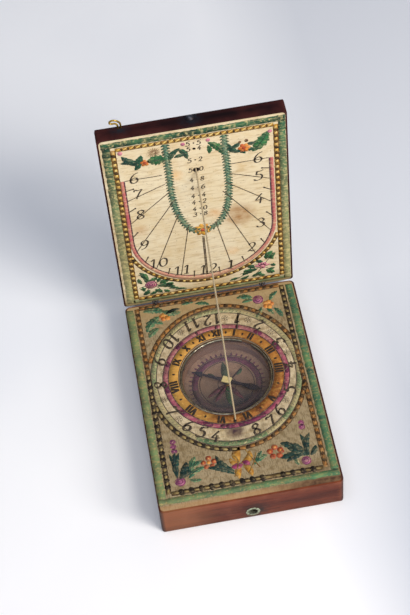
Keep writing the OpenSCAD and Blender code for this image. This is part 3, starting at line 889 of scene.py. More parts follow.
class SUNDIAL_OT_thread(bpy.types.Operator):
    """The gnomon thread, taut at the latitude of the dials, and its two stopper knots"""
    bl_idname = "sundial.thread"
    bl_label = "Thread"

    # The step from station to station, and the sides of the thread's and the knots' tubes
    STATION, SIDES, KNOT_SIDES = 0.11, 14, 12
    # A knot: its turns, their radius, how high they start and climb, and its tail's reach
    # and lift
    TURNS, TURN_R, START, CLIMB, TAIL, LIFT = 3.4, 0.6, 0.12, 1.45, 0.85, 0.35
    # Half the thread's thickness, in metres: it leaves its hole behind the foot's centre
    EXIT_BEHIND_FOOT = 0.0003

    def execute(self, context):
        linen_thread = linen()
        radius, lay = sizes().thread / MM / 2, sizes().thread_lay / MM
        route = thread_route()
        whole = run_along(route)[-1]
        path = reached(route, np.append(np.arange(0, whole, self.STATION), whole))
        points, faces, groove = tube(path, radius, (1, 0, 0), self.SIDES, lay)
        thread = new_piece("thread", points, faces, None, None, linen_thread, groove=groove)
        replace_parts(thread, "gnomon_string")
        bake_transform(thread)
        knots = [self.knot("thread_knot_base", "string_knot_base", "base", linen_thread, radius, lay,
                           lambda x, y, z: (x, FOOT_Y + y, KNOT_RECESS - z)),
                 self.knot("thread_knot_lid", "string_knot_lid", "lid", linen_thread, radius, lay,
                           lambda x, y, z: (x, LID_BACK_Y + z, route[-1, 2] + y))]
        return {"FINISHED"}

    def knot(self, name, node, body, material, radius, lay, place):
        """A stopper knot: tight turns that climb, then a tail drawn out of the top.

        The centre line is a helix of one turn radius, which climbs about a thread's width
        in a turn and a half. Both places mirror it, so its faces are turned round."""
        turns = np.linspace(0, self.TURNS * 2 * np.pi, 120)
        climb = radius + self.START + self.CLIMB * turns / turns[-1]
        helix = np.stack([self.TURN_R * np.cos(turns), self.TURN_R * np.sin(turns), climb], -1)
        out = np.linspace(0, 1, 24)[1:, None]
        way = np.array([-math.sin(turns[-1]), math.cos(turns[-1]), 0.25])
        tail = helix[-1] + way * out * self.TAIL + np.array([0, 0, self.LIFT]) * out ** 2
        path = np.concatenate([helix, tail])
        side = np.cross(np.gradient(path, axis=0), (0, 0, 1.0))
        side /= np.linalg.norm(side, axis=1, keepdims=True)
        points, faces, groove = tube(path, radius, side, self.KNOT_SIDES, lay)
        piece = new_piece(name, np.stack(place(*points.T), -1), [f[:, ::-1] for f in faces],
                          body, "thread", material, groove=groove)
        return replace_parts(piece, node)


class SUNDIAL_OT_boards(bpy.types.Operator):
    """Stained wood of the base and the lid"""
    bl_idname = "sundial.boards"
    bl_label = "Boards"

    def execute(self, context):
        dress("base_block", base_wood())
        dress("lid_board", lid_wood())
        return {"FINISHED"}


class SUNDIAL_OT_sheets(bpy.types.Operator):
    """Old rag paper on both faces"""
    bl_idname = "sundial.sheets"
    bl_label = "Sheets"

    def execute(self, context):
        dress("base_dial_paper", base_paper())
        dress("lid_dial_paper", lid_paper())
        return {"FINISHED"}


class SUNDIAL_OT_lid_borders(bpy.types.Operator):
    """Green wash, rope borders and the pink band of the lid"""
    bl_idname = "sundial.lid_borders"
    bl_label = "Lid borders"

    LEFT, RIGHT, FOOT, HEAD = -25.3, 26.2, 3.6, 79.0
    # The pink band: its place, its half width at the ends, its swelling at the foot of the
    # U, and the gap to the line along its inner side
    BAND_R, BAND_TOP = 24.2, 64.3
    BAND_HALF, SWELL, SWELL_REACH, LINE_GAP = 0.58, 0.5, 0.24, 0.16

    def execute(self, context):
        paper = colours().lid_paper
        paint(on_lid, "lid_green_wash", watercolour(
            "green_wash_lid", colours().green, "#0F2A22", "#BCAE78", 0.8, 3.4,
            ("Z", AXIS_Z + 80, AXIS_Z + 20, 0.5)),
            brushed((-28.9, 81.35), (29.3, 81.35), 1.25, 3),
            brushed((-27.35, 80.2), (-27.35, 1.6), 1.35, 4),
            brushed((28.15, 80.2), (28.15, 1.6), 1.2, 5))
        paint(on_lid, "lid_foot_wash", watercolour(
            "thin_green_foot_wash", "#8E9468", "#56623F", "#A8946A", 0.7, 3.0),
            brushed((-26.4, 2.2), (27.2, 2.2), 0.8, 6))
        width, pitch = sizes().rope_width / MM, sizes().rope_pitch / MM
        left, right, foot, head = self.LEFT, self.RIGHT, self.FOOT, self.HEAD
        inks = [Ribbons(on_lid) for _ in range(3)]
        for row in (
                (straight((left, foot), (left, head)), width, pitch, 0.5, (1.35, 0.8)),
                (straight((right, head), (right, foot)), width, pitch, 0.5, (1.4, 0.75)),
                (straight((left + 0.8, foot), (right - 0.8, foot)), width, pitch, 0.34, (1.35, 0.85)),
                (straight((left + 0.7, head), (right - 0.7, head)), width, 2.1, 0.34, (2.3, 0.5), -38),
                (arc((0.2, 34), 26.1, 196, 344, 120), 1.5, 2.4, 0.6, (1.1, 0.95), 20)):
            rope(inks, *row)
        for ribbons, part, paints in zip(inks, ("ground", "links", "lights"), (
                ("ochre_rope_lid", colours().ochre, "#8E5E1C", paper, 0.35, 2.5),
                ("brown_rope_links_lid", "#5C4018", "#2C2214", "#B98A35", 0.4, 2.0),
                ("cream_rope_lights_lid", "#EACC78", "#CC9E42", paper, 0.45, 4.0))):
            ribbons.piece(f"lid_rope_{part}", watercolour(*paints))
        left, right = BOW[0] - self.BAND_R, BOW[0] + self.BAND_R
        path = np.concatenate([np.linspace((left, self.BAND_TOP), (left, BOW[1]), 40)[:-1],
                               arc(BOW, self.BAND_R, 180, 360, 90),
                               np.linspace((right, BOW[1]), (right, self.BAND_TOP), 40)[1:]])
        share = np.linspace(-1, 1, len(path)) / self.SWELL_REACH
        half = self.BAND_HALF + self.SWELL * np.exp(-share ** 2)
        paint(on_lid, "lid_pink_band", watercolour(
            "pink_lake_band", colours().pink, "#B4505A", paper, 0.45, 3.5,
            ("Z", AXIS_Z + 28, AXIS_Z + 8, 0.35)), (path, half, WASH))
        ahead = np.gradient(path, axis=0)
        ahead /= np.linalg.norm(ahead, axis=1, keepdims=True)
        paint(on_lid, "lid_plum_line", watercolour("plum_line_lid", colours().plum, "#2A1626", paper, 0.35),
              (path + left_of(ahead) * (half + self.LINE_GAP)[:, None], 0.2, LINKS))
        return {"FINISHED"}


def lid_hour(hours, inner=23.2):
    """The unit way of an hour line on an upright south dial, and where it meets the U.

    The line's angle from straight down has the tangent cos(latitude) tan(15 hours)."""
    angle = math.radians(15 * hours)
    way = np.array([math.cos(LATITUDE) * math.sin(angle), -math.cos(angle)])
    way /= np.linalg.norm(way)
    if way[0]:
        to_side = LID_ROOT + way * (math.copysign(inner, way[0]) + BOW[0] - LID_ROOT[0]) / way[0]
        if to_side[1] > BOW[1]:
            return way, to_side
    return way, meets_ring(LID_ROOT, way, BOW, inner)


class SUNDIAL_OT_lid_dial(bpy.types.Operator):
    """Hour lines, hour figures and the column of latitudes on the lid"""
    bl_idname = "sundial.lid_dial"
    bl_label = "Lid dial"

    FIGURES_AT = (("6", -19.9, 64.9), ("7", -19.5, 57.3), ("8", -19.5, 47.3), ("9", -19.7, 31.9),
                  ("10", -15.9, 21.2), ("11", -8.1, 15.3), ("12", 0.8, 13.7), ("1", 8.8, 14.0),
                  ("2", 16.3, 21.4), ("3", 19.9, 33.4), ("4", 19.9, 45.6), ("5", 20.1, 56.7),
                  ("6", 20.2, 65.1))
    LATITUDES = ((38, 42.8), (40, 45.6), (42, 48.9), (44, 52.0), (46, 55.9), (48, 59.8),
                 (50, 64.5), (52, 68.9), (54, 74.2), (55, 76.6))
    THREAD_HOLES = (50, 54)
    # How far from the root the line of each hour starts, counted from noon
    CLEAR = (33.0, 27.0, 21.0, 14.5, 12.4, 11.4, 11.2)
    NOON_STROKES, NOON_PRESSED = (-0.22, 0.22), 1.15
    # A half hour's dot and tick: how far before and past the U they start and end
    DOT, TICK_START, TICK_END = 2.3, 2.0, 0.6

    def execute(self, context):
        paper = colours().lid_paper
        lines, figures, dots = Ribbons(on_lid), Ribbons(on_lid), Ribbons(on_lid)
        fine = sizes().ink_line / MM / 2
        for hour in range(-6, 7):
            way, end = lid_hour(hour)
            pen = np.linspace(LID_ROOT + way * self.CLEAR[abs(hour)], end, 40)
            pressed = fine * (1.0 if hour else self.NOON_PRESSED)
            for shift in (0.0,) if hour else self.NOON_STROKES:
                lines.add(pen + [shift, 0], pressed * (1 + 0.35 * wobble(40, hour + 20, 0.5)), INK)
        for half in np.arange(-5.5, 6):
            way, end = lid_hour(half)
            lines.add(np.linspace(end - way * self.TICK_START, end + way * self.TICK_END, 8), 0.2, INK)
            dots.add(*discs([(*(end - way * self.DOT), 0.33)]), INK)
        lines.piece("lid_hour_lines", ink("ink_lines_lid", "#453523", paper, 0.5))
        for text, u, v in self.FIGURES_AT:
            write(figures, text, (u, v), sizes().lid_figures / MM, 0, 0.15, 0.05)
        for latitude, v in self.LATITUDES:
            for figure, u in zip(str(latitude), (-1.75, 1.75)):
                write(figures, figure, (u, v), sizes().latitude_figures / MM, 0, 0.2, 0.1)
        figures.piece("lid_figures", ink("ink_figures_lid", colours().ink, paper, 0.3))
        pricked = [(0.05, v, 0.28) for latitude, v in self.LATITUDES if latitude not in self.THREAD_HOLES]
        dots.add(*discs(pricked), INK)
        dots.piece("lid_pricked_dots", ink("ink_dots_lid", "#2A1E14", paper, 0.2))
        return {"FINISHED"}


class SUNDIAL_OT_lid_flowers(bpy.types.Operator):
    """Garland, swag of leaves, blossoms and corner sprays of the lid"""
    bl_idname = "sundial.lid_flowers"
    bl_label = "Lid flowers"

    GARLAND = (((-8.9, 78), (-8.85, 70), (-8.8, 64.8), (-8.7, 53.7), (-7.6, 45.3), (-5.9, 39.8),
                (-3.6, 35.6), (-0.8, 34.2)),
               ((9.8, 78), (9.85, 70), (9.95, 64.8), (10.05, 53.7), (9.0, 44.5), (7.2, 39.4),
                (4.6, 35.8), (1.0, 34.2)))
    SWAG = ((-16.6, 70.9, -23.0, 75.8, 1.5, 0.12), (-19.6, 71.2, -16.8, 75.0, 1.35, -0.15),
            (-17.6, 71.9, -19.4, 68.6, 1.1, 0.1), (-20.2, 73.4, -23.6, 72.6, 0.9, 0.1),
            (-8.2, 70.0, -4.4, 75.4, 1.1, 0.12), (-5.4, 75.2, -2.4, 69.8, 1.15, 0.12),
            (-6.6, 71.4, -3.0, 71.8, 0.9, 0.1), (10.9, 73.6, 14.4, 69.0, 1.25, -0.15),
            (11.6, 71.4, 14.6, 73.6, 1.0, -0.1), (10.8, 70.4, 13.6, 69.4, 0.7, 0.1),
            (13.2, 70.2, 16.2, 68.0, 0.9, 0.1), (16.6, 72.4, 19.6, 72.6, 0.9, -0.1),
            (16.4, 69.2, 19.4, 69.6, 0.9, 0.1))
    BROAD = ((-15.2, 71.7, -8.9, 71.0, 2.6, 0.05), (18.4, 68.4, 23.6, 76.6, 2.5, -0.06),
             (4.4, 75.8, 8.8, 69.6, 1.6, 0.12), (4.4, 74.6, 4.6, 70.6, 1.0, 0.1))
    SPRAYS = ((-23.0, 17.6, -20.8, 12.2, 1.3, 0.1), (-21.8, 13.2, -18.8, 12.2, 1.17, -0.1),
              (-17.6, 8.8, -11.4, 7.0, 1.365, 0.12), (-16.6, 10.0, -13.0, 11.2, 1.3, 0.1),
              (-20.4, 7.6, -22.8, 5.2, 1.17, 0.1), (-18.6, 7.2, -16.2, 4.9, 1.105, 0.1),
              (-22.8, 9.6, -22.4, 7.0, 0.78, 0.1), (-13.8, 6.6, -9.8, 5.6, 0.78, 0.1),
              (23.2, 17.6, 20.8, 13.4, 1.43, -0.1), (20.6, 15.4, 23.4, 13.0, 1.04, 0.1),
              (17.6, 8.8, 12.2, 6.8, 1.365, -0.12), (16.8, 9.8, 13.8, 11.4, 1.17, -0.1),
              (20.8, 8.0, 23.8, 6.0, 1.3, -0.1), (19.0, 7.4, 15.4, 5.4, 1.04, 0.1),
              (22.2, 10.2, 24.0, 9.2, 0.91, 0.1), (-22.6, 11.4, -23.6, 14.6, 0.91, 0.1),
              (-20.0, 12.6, -17.2, 13.8, 1.04, -0.1), (-21.4, 8.8, -23.6, 8.6, 0.78, 0.1),
              (-17.8, 6.6, -20.6, 5.0, 0.91, 0.1), (-15.4, 6.4, -13.2, 4.9, 0.845, -0.1),
              (-14.6, 8.6, -11.6, 9.0, 0.975, 0.1), (-17.4, 11.2, -15.6, 13.0, 0.91, 0.1),
              (-11.6, 5.2, -7.4, 4.9, 0.65, 0.1), (22.6, 13.4, 24.2, 16.4, 0.91, 0.1),
              (19.8, 12.4, 17.4, 13.8, 1.04, 0.1), (15.2, 8.2, 12.6, 9.0, 0.91, -0.1),
              (17.6, 6.6, 20.4, 4.9, 0.91, -0.1), (14.6, 6.2, 11.2, 5.0, 0.78, 0.1),
              (21.6, 8.2, 23.8, 8.4, 0.78, -0.1), (11.4, 5.8, 7.6, 4.9, 0.65, -0.1))
    # Where the stems of both sprays start, how far their middles are drawn aside, and where
    # they end, for the spray at the right
    STEM_U, STEM_V, STEM_BOW = 19.5, 10.1, 0.5
    STEM_TIPS = ((9.2, 4.9), (11.4, 7.6), (14.2, 11.6), (17.2, 14.2), (23.4, 16.6), (23.8, 9.2),
                 (22.8, 5.2), (16.0, 4.9))
    ROSE, BUD = (-19.6, 10.2), np.array([19.4, 10.1])
    # Direction and length of each petal of the bud at the right
    BUD_PETALS = ((15, 2.9), (55, 2.4), (90, 2.2), (125, 2.4), (165, 2.9), (-60, 1.5), (-120, 1.5))

    def execute(self, context):
        paper = colours().lid_paper
        band, tufts, specks = Ribbons(on_lid), Ribbons(on_lid), Ribbons(on_lid)
        for k, points in enumerate(self.GARLAND):
            path = smooth(points, 120)
            band.add(path, 0.82 + wobble(120, 70 + k, 0.1), WASH)
            distance = np.arange(0.5, run_along(path)[-1], 1.3)
            at, way = walk(path, distance)
            for side in (-1, 1):
                tufts.add(*spindles(at + turned(way, 90 * side) * 0.85, turned(way, 58 * side),
                                    1.5, 0.36, 7, 0.9), LINKS)
            at, way = walk(path, distance + 0.6)
            specks.add(*spindles(at, turned(way, 35), 0.9, 0.2, 7, 0.7), LIGHTS)
        band.piece("lid_garland", watercolour("grey_green_garland", "#7C936F", "#4A7060", paper, 0.4, 1.2))
        tufts.piece("lid_garland_tufts", watercolour("green_tufts", "#335C46", "#173A2C", paper, 0.35, 1.0))
        specks.piece("lid_garland_specks", watercolour("dark_specks", "#4B7260", "#24483A", paper, 0.3, 1.0))
        paint(on_lid, "lid_dark_leaves", watercolour(
            "dark_green_leaves_lid", colours().leaf, "#0E3A30", paper, 0.22, 1.6),
            (*leaves(self.SWAG, 24, 4, 0.25), GROUND))
        stems = [(smooth([(self.STEM_U * side, self.STEM_V),
                          ((self.STEM_U + u) / 2 * side + self.STEM_BOW,
                           (self.STEM_V + v) / 2 + self.STEM_BOW), (u * side, v)], 16), 0.11, LINKS)
                 for side in (-1, 1) for u, v in self.STEM_TIPS]
        paint(on_lid, "lid_leaf_veins", ink("ink_veins_lid", "#10281F", colours().leaf, 0.3),
              *map(veins, (self.SWAG, self.BROAD, self.SPRAYS)), *stems)
        paint(on_lid, "lid_green_leaves", watercolour(
            "mid_green_leaves_lid", "#2F6E3A", "#174A32", paper, 0.25, 1.6),
            (*leaves(self.BROAD, 30, 5, 0.35), GROUND), (*leaves(self.SPRAYS, 24, 3, 0.3), GROUND))
        bud = [(*spindles(self.BUD + facing([turn]) * reach / 2, facing([turn]), reach, 0.62, 9, 0.8), LIGHTS)
               for turn, reach in self.BUD_PETALS]
        paint(on_lid, "lid_pink_flowers", watercolour(
            "pink_flowers_lid", "#D78A93", "#9A4A72", paper, 0.35, 1.0),
            (*discs([(-23.2, 77.2, 0.85), (-3.4, 76.8, 0.75), (4.6, 76.9, 0.75), (24.3, 76.3, 0.75)]),
             GROUND),
            (*discs([(*self.ROSE, 2.0), (*self.BUD, 0.8)]), LIGHTS), *bud)
        paint(on_lid, "lid_rose_whorls", watercolour(
            "plum_whorls_lid", "#8A3A62", "#4A2340", paper, 0.3, 0.8),
            *[(oval(self.ROSE, radius, 32), 0.16, INK, True) for radius in (1.95, 1.25, 0.6)])
        paint(on_lid, "lid_orange_flowers", watercolour(
            "orange_flowers_lid", "#D98A36", "#B24A26", paper, 0.25, 1.3),
            (*petals((-15.9, 71.2), 5, 0.1, 1.55, 0.62, 20), GROUND),
            (*petals((15.9, 70.7), 6, 0.1, 2.1, 0.75), GROUND + 0.003))
        paint(on_lid, "lid_golden_flower", watercolour(
            "golden_flower_lid", "#DDA63E", "#A86A22", paper, 0.3, 1.0),
            (*petals((0.1, 34.7), 8, 0.2, 3.1, 0.85, 10), GROUND))
        paint(on_lid, "lid_flower_hearts", watercolour(
            "vermilion_hearts_lid", colours().vermilion, "#7E2E1E", paper, 0.15, 0.8),
            (*discs([(-15.9, 71.2, 0.7), (15.7, 70.7, 0.6), (0.1, 34.5, 0.75)]), LIGHTS))
        paint(on_lid, "lid_brown_sprigs", watercolour(
            "brown_sprigs_lid", "#7C5230", "#46301C", paper, 0.55, 0.8),
            (*petals((-12.7, 75.3), 16, 0.3, 2.1, 0.13, 5), GROUND),
            (*discs([(14.6, 73.6, 0.5), (16.7, 73.8, 0.65), (-9.9, 74.4, 0.3), (-17.9, 10.9, 0.35)]), LIGHTS))
        return {"FINISHED"}


def base_hour(hours, radius):
    """Where an hour line of the base, drawn from the thread's foot, meets a ring.

    The tangent of its angle from the noon line is the slope times tan(15 hours)."""
    angle = math.radians(15 * hours)
    way = np.array([SUN_SLOPE * math.sin(angle), math.cos(angle)])
    return meets_ring(SUN_ROOT, way / np.linalg.norm(way), RING, radius)


class SUNDIAL_OT_base_borders(bpy.types.Operator):
    """Green wash, rope borders and the coloured rings of the base"""
    bl_idname = "sundial.base_borders"
    bl_label = "Base borders"

    LEFT, RIGHT, FRONT, BACK, BREAK = -25.9, 25.35, -77.6, -1.5, -30
    ROPE_RING = (26.2, 29.6)
    # Parts of the hour ring that still have their green, in degrees
    WASHED = ((70, 112), (150, 178), (236, 292), (310, 322), (338, 352))
    # Radii and half width of each printed ring
    OUTLINES = (((23.5, 26.4), 0.13), ((25.5, 28.5), 0.12), (21.45, 0.16), (19.6, 0.16), (16.1, 0.14))
    # Hours counted from noon, and half the spread in degrees of the plum cell at each
    CELLS = ((-8, 3.0), (-7, 2.4), (-6, 5.0), (-5, 2.6), (-4, 5.5), (-3, 3.0), (-2, 5.0), (-1, 1.2),
             (0, 1.6), (1, 1.6), (2, 4.5), (3, 5.0), (4, 5.5), (5, 2.6), (6, 3.0), (7, 2.4), (8, 3.0))

    def execute(self, context):
        paper = colours().base_paper
        paint(on_base, "base_green_wash", watercolour(
            "green_wash_base", "#5C8254", "#2A5040", "#A4905C", 0.6, 3.4, ("X", 26, -28, 0.25)),
            brushed((-28.35, -1.6), (-28.35, -78.8), 1.3, 11),
            brushed((27.95, -1.6), (27.95, -78.8), 1.2, 12),
            brushed((-29.6, -80.1), (29.2, -80.1), 1.15, 13))
        self.ropes(paper)
        paint(on_base, "base_grey_ring", watercolour(
            "grey_green_ring", "#B09F76", "#83825A", paper, 0.5, 2.5),
            (oval(RING, HOUR_RING, 140), 0.95, WASH, True))
        paint(on_base, "base_green_ring", watercolour(
            "green_ring", "#6A7E56", "#42603F", "#BFAE82", 0.7, 1.8,
            ("Y", HINGE_Y - 60, HINGE_Y - 10, 0.35)),
            *[(arc(RING, HOUR_RING, start, end, 40), 0.85 + wobble(40, start, 0.06), GROUND)
              for start, end in self.WASHED])
        paint(on_base, "base_ring_outlines", ink("ink_outlines_base", "#3B2A2E", paper, 0.5),
              *[(oval(RING, radii, 160), half, LINKS, True) for radii, half in self.OUTLINES])
        for name, start, end, pigment, deep, fade in (
                ("back", -2, 184, "#B07434", "#84501E", ("X", 12, -16, 0.5)),
                ("front", 184, 358, colours().orange, "#5E3016", ("X", -4, -17, 0.5))):
            paint(on_base, f"base_orange_ring_{name}", watercolour(
                f"orange_ring_{name}", pigment, deep, "#D2A450", 0.4, 1.7, fade),
                (arc(RING, ORANGE_R, start, end, 80), 1.78, WASH))
        paint(on_base, "base_magenta_ring", watercolour(
            "crimson_ring", "#A04A60", "#64243C", "#C89A84", 0.5, 2.0,
            ("Y", HINGE_Y - 50, HINGE_Y - 14, 0.2)),
            (oval(RING, CRIMSON_R, 160), 0.95, WASH, True))
        cells = []
        taper = 0.85 * np.sin(np.linspace(0.15, np.pi - 0.15, 14)) ** 0.5
        for hour, spread in self.CELLS:
            u, v = base_hour(hour, CRIMSON_R) - RING
            angle = math.degrees(math.atan2(v, u))
            cells.append((arc(RING, CRIMSON_R, angle - spread, angle + spread, 14), taper, GROUND))
        paint(on_base, "base_plum_cells", watercolour(
            "plum_cells", "#6E2A48", "#35182A", "#9A4862", 0.5, 1.4), *cells,
            (arc(RING, CRIMSON_R, 272, 296, 40), 0.85, GROUND + 0.004))
        return {"FINISHED"}

    def ropes(self, paper):
        """Two kinds of rope take turns along the sides and round the rings."""
        width, pitch = sizes().rope_width / MM, sizes().rope_pitch / MM
        left, right, front, back, middle = self.LEFT, self.RIGHT, self.FRONT, self.BACK, self.BREAK
        plain, twist = [[Ribbons(on_base) for _ in range(3)] for _ in range(2)]
        for inks, *row in (
                (plain, straight((left, front), (left, middle)), width, pitch, 0.78, (1.4, 0.82), 12),
                (twist, straight((left, middle), (left, back)), width, pitch, 0.5, (1.5, 0.7), 24),
                (plain, straight((left + 0.8, front), (8, front)), width, 3.4, 0.8, (1.9, 0.52), 8),
                (plain, straight((8, front), (right - 0.8, front)), width, 3.4, 0.7, (1.9, 0.42), 12),
                (twist, straight((right, front), (right, middle)), width, 2.6, 0.45, (1.9, 0.45), 24),
                (plain, straight((right, middle), (right, back)), width, pitch, 0.62, (1.4, 0.7), -24),
                (twist, straight((left + 0.8, back), (right - 0.8, back)), width, 2.6, 0.4, (1.6, 0.4), 20),
                (plain, arc(RING, self.ROPE_RING, 195, 268, 120), 1.6, 3.0, 0.6, (1.9, 0.8), 8),
                (twist, arc(RING, self.ROPE_RING, 268, 345, 120), 1.6, 3.0, 0.45, (1.7, 0.5), 20),
                (twist, arc(RING, self.ROPE_RING, 20, 92, 120), 1.6, 2.8, 0.55, (1.6, 0.5), 20),
                (twist, arc(RING, self.ROPE_RING, 92, 160, 120), 1.8, 2.8, 0.22, (2.0, 0.7), 26)):
            rope(inks, *row)
        for ribbons, name, light, deep in zip(plain + twist, (
                "base_rope_ground", "base_rope_links", "base_rope_lights",
                "base_twist_ground", "base_twist_links", "base_twist_lights"), (
                "#6A5128", "#2A1F15", "#A8925F", "#94642F", "#50361A", "#B07A3E"), (
                "#3E2D17", "#15100D", "#7C6838", "#683F1C", "#2E1F12", "#835A2A")):
            ribbons.piece(name, watercolour(f"{name}_paint", light, deep, paper, 0.22, 1.8))


class SUNDIAL_OT_base_dial(bpy.types.Operator):
    """Hour figures, Roman figures, hour marks and rosettes of the base"""
    bl_idname = "sundial.base_dial"
    bl_label = "Base dial"

    FIGURES_AT = (("12", -0.9, -11.4), ("1", 7.7, -12.6), ("2", 14.8, -17.0), ("3", 19.7, -25.6),
                  ("4", 21.8, -35.6), ("5", 19.9, -45.6), ("6", 15.0, -53.1), ("7", 11.6, -56.6),
                  ("8", 6.1, -58.8), ("11", -8.4, -12.2), ("10", -16.2, -17.6), ("9", -21.2, -25.3),
                  ("8", -22.3, -35.1), ("7", -20.1, -46.4), ("6", -15.6, -53.2), ("5", -11.6, -56.4),
                  ("4", -7.4, -58.9))
    # Each Roman figure and its direction, in degrees clockwise from the hinge side
    ROMAN_AT = (("XII", 0), ("I", 18.5), ("II", 37.5), ("III", 66), ("IIII", 92), ("V", 133),
                ("VI", 167), ("VI", 195), ("VII", 230), ("VIII", 266), ("IX", 299), ("X", 320),
                ("XI", 341))
    ROSETTES = ((-4.6, -11.9), (3.6, -11.7), (-12.3, -14.6), (11.3, -14.2), (18.0, -21.0),
                (21.6, -30.6), (-22.1, -41.2), (-18.4, -49.8), (17.7, -49.4), (-20.3, -30.2))
    ROMAN_R, TICK_FROM_R, TICK_TO_R = 17.9, 19.6, 21.4

    def execute(self, context):
        paper = colours().base_paper
        figures, fine, roman = Ribbons(on_base), Ribbons(on_base), Ribbons(on_base)
        for text, u, v in self.FIGURES_AT:
            outward = math.degrees(math.atan2(u - RING[0], v - RING[1]))
            write(figures, text, (u, v), sizes().base_figures / MM, 180 - outward, 0.22, 0.085)
        for middle in self.ROSETTES:
            fine.add(*petals(middle, 6, 0.35, 0.95, 0.16, 10), INK)
            fine.add(oval(middle, 1.15, 24), 0.05, INK, closed=True)
            fine.add(*discs([(*middle, 0.18)]), INK)
        for hour in range(-8, 9):
            ends = base_hour(hour, self.TICK_FROM_R), base_hour(hour, self.TICK_TO_R)
            fine.add(np.linspace(*ends, 10), 0.1, INK)
        fine.add(np.linspace((6.9, -17.3), (8.2, -11.6), 12), 0.24, INK)
        ring = arc(RING, HOUR_RING, 0, 360, 121)
        at, way = walk(ring, np.arange(1.2, run_along(ring)[-1], 1.25))
        fine.add(*spindles(at, turned(way, 62), 1.0, 0.09, 5, 0.4), INK)
        fine.piece("base_fine_marks", ink("ink_marks_base", "#4A4034", paper, 0.6))
        figures.piece("base_figures", ink("ink_figures_base", colours().ink, paper, 0.3))
        for text, turn in self.ROMAN_AT:
            write(roman, text, RING + self.ROMAN_R * facing(90 - turn), sizes().roman_figures / MM,
                  -turn, 0.34, 0.15, 0.0)
        turns = np.array([turn for _, turn in self.ROMAN_AT] + [360])
        for between in (turns[:-1] + turns[1:]) / 2:
            out = facing([90 - between])
            roman.add(*spindles(RING + ORANGE_R * out, out, 1.2, 0.36, 7, 1.0), INK)
        roman.add(*discs([(-0.25, -54.3, 0.6)]), INK)
        roman.piece("base_roman_figures", ink("ink_roman_base", "#22160C", colours().orange, 0.2))
        return {"FINISHED"}


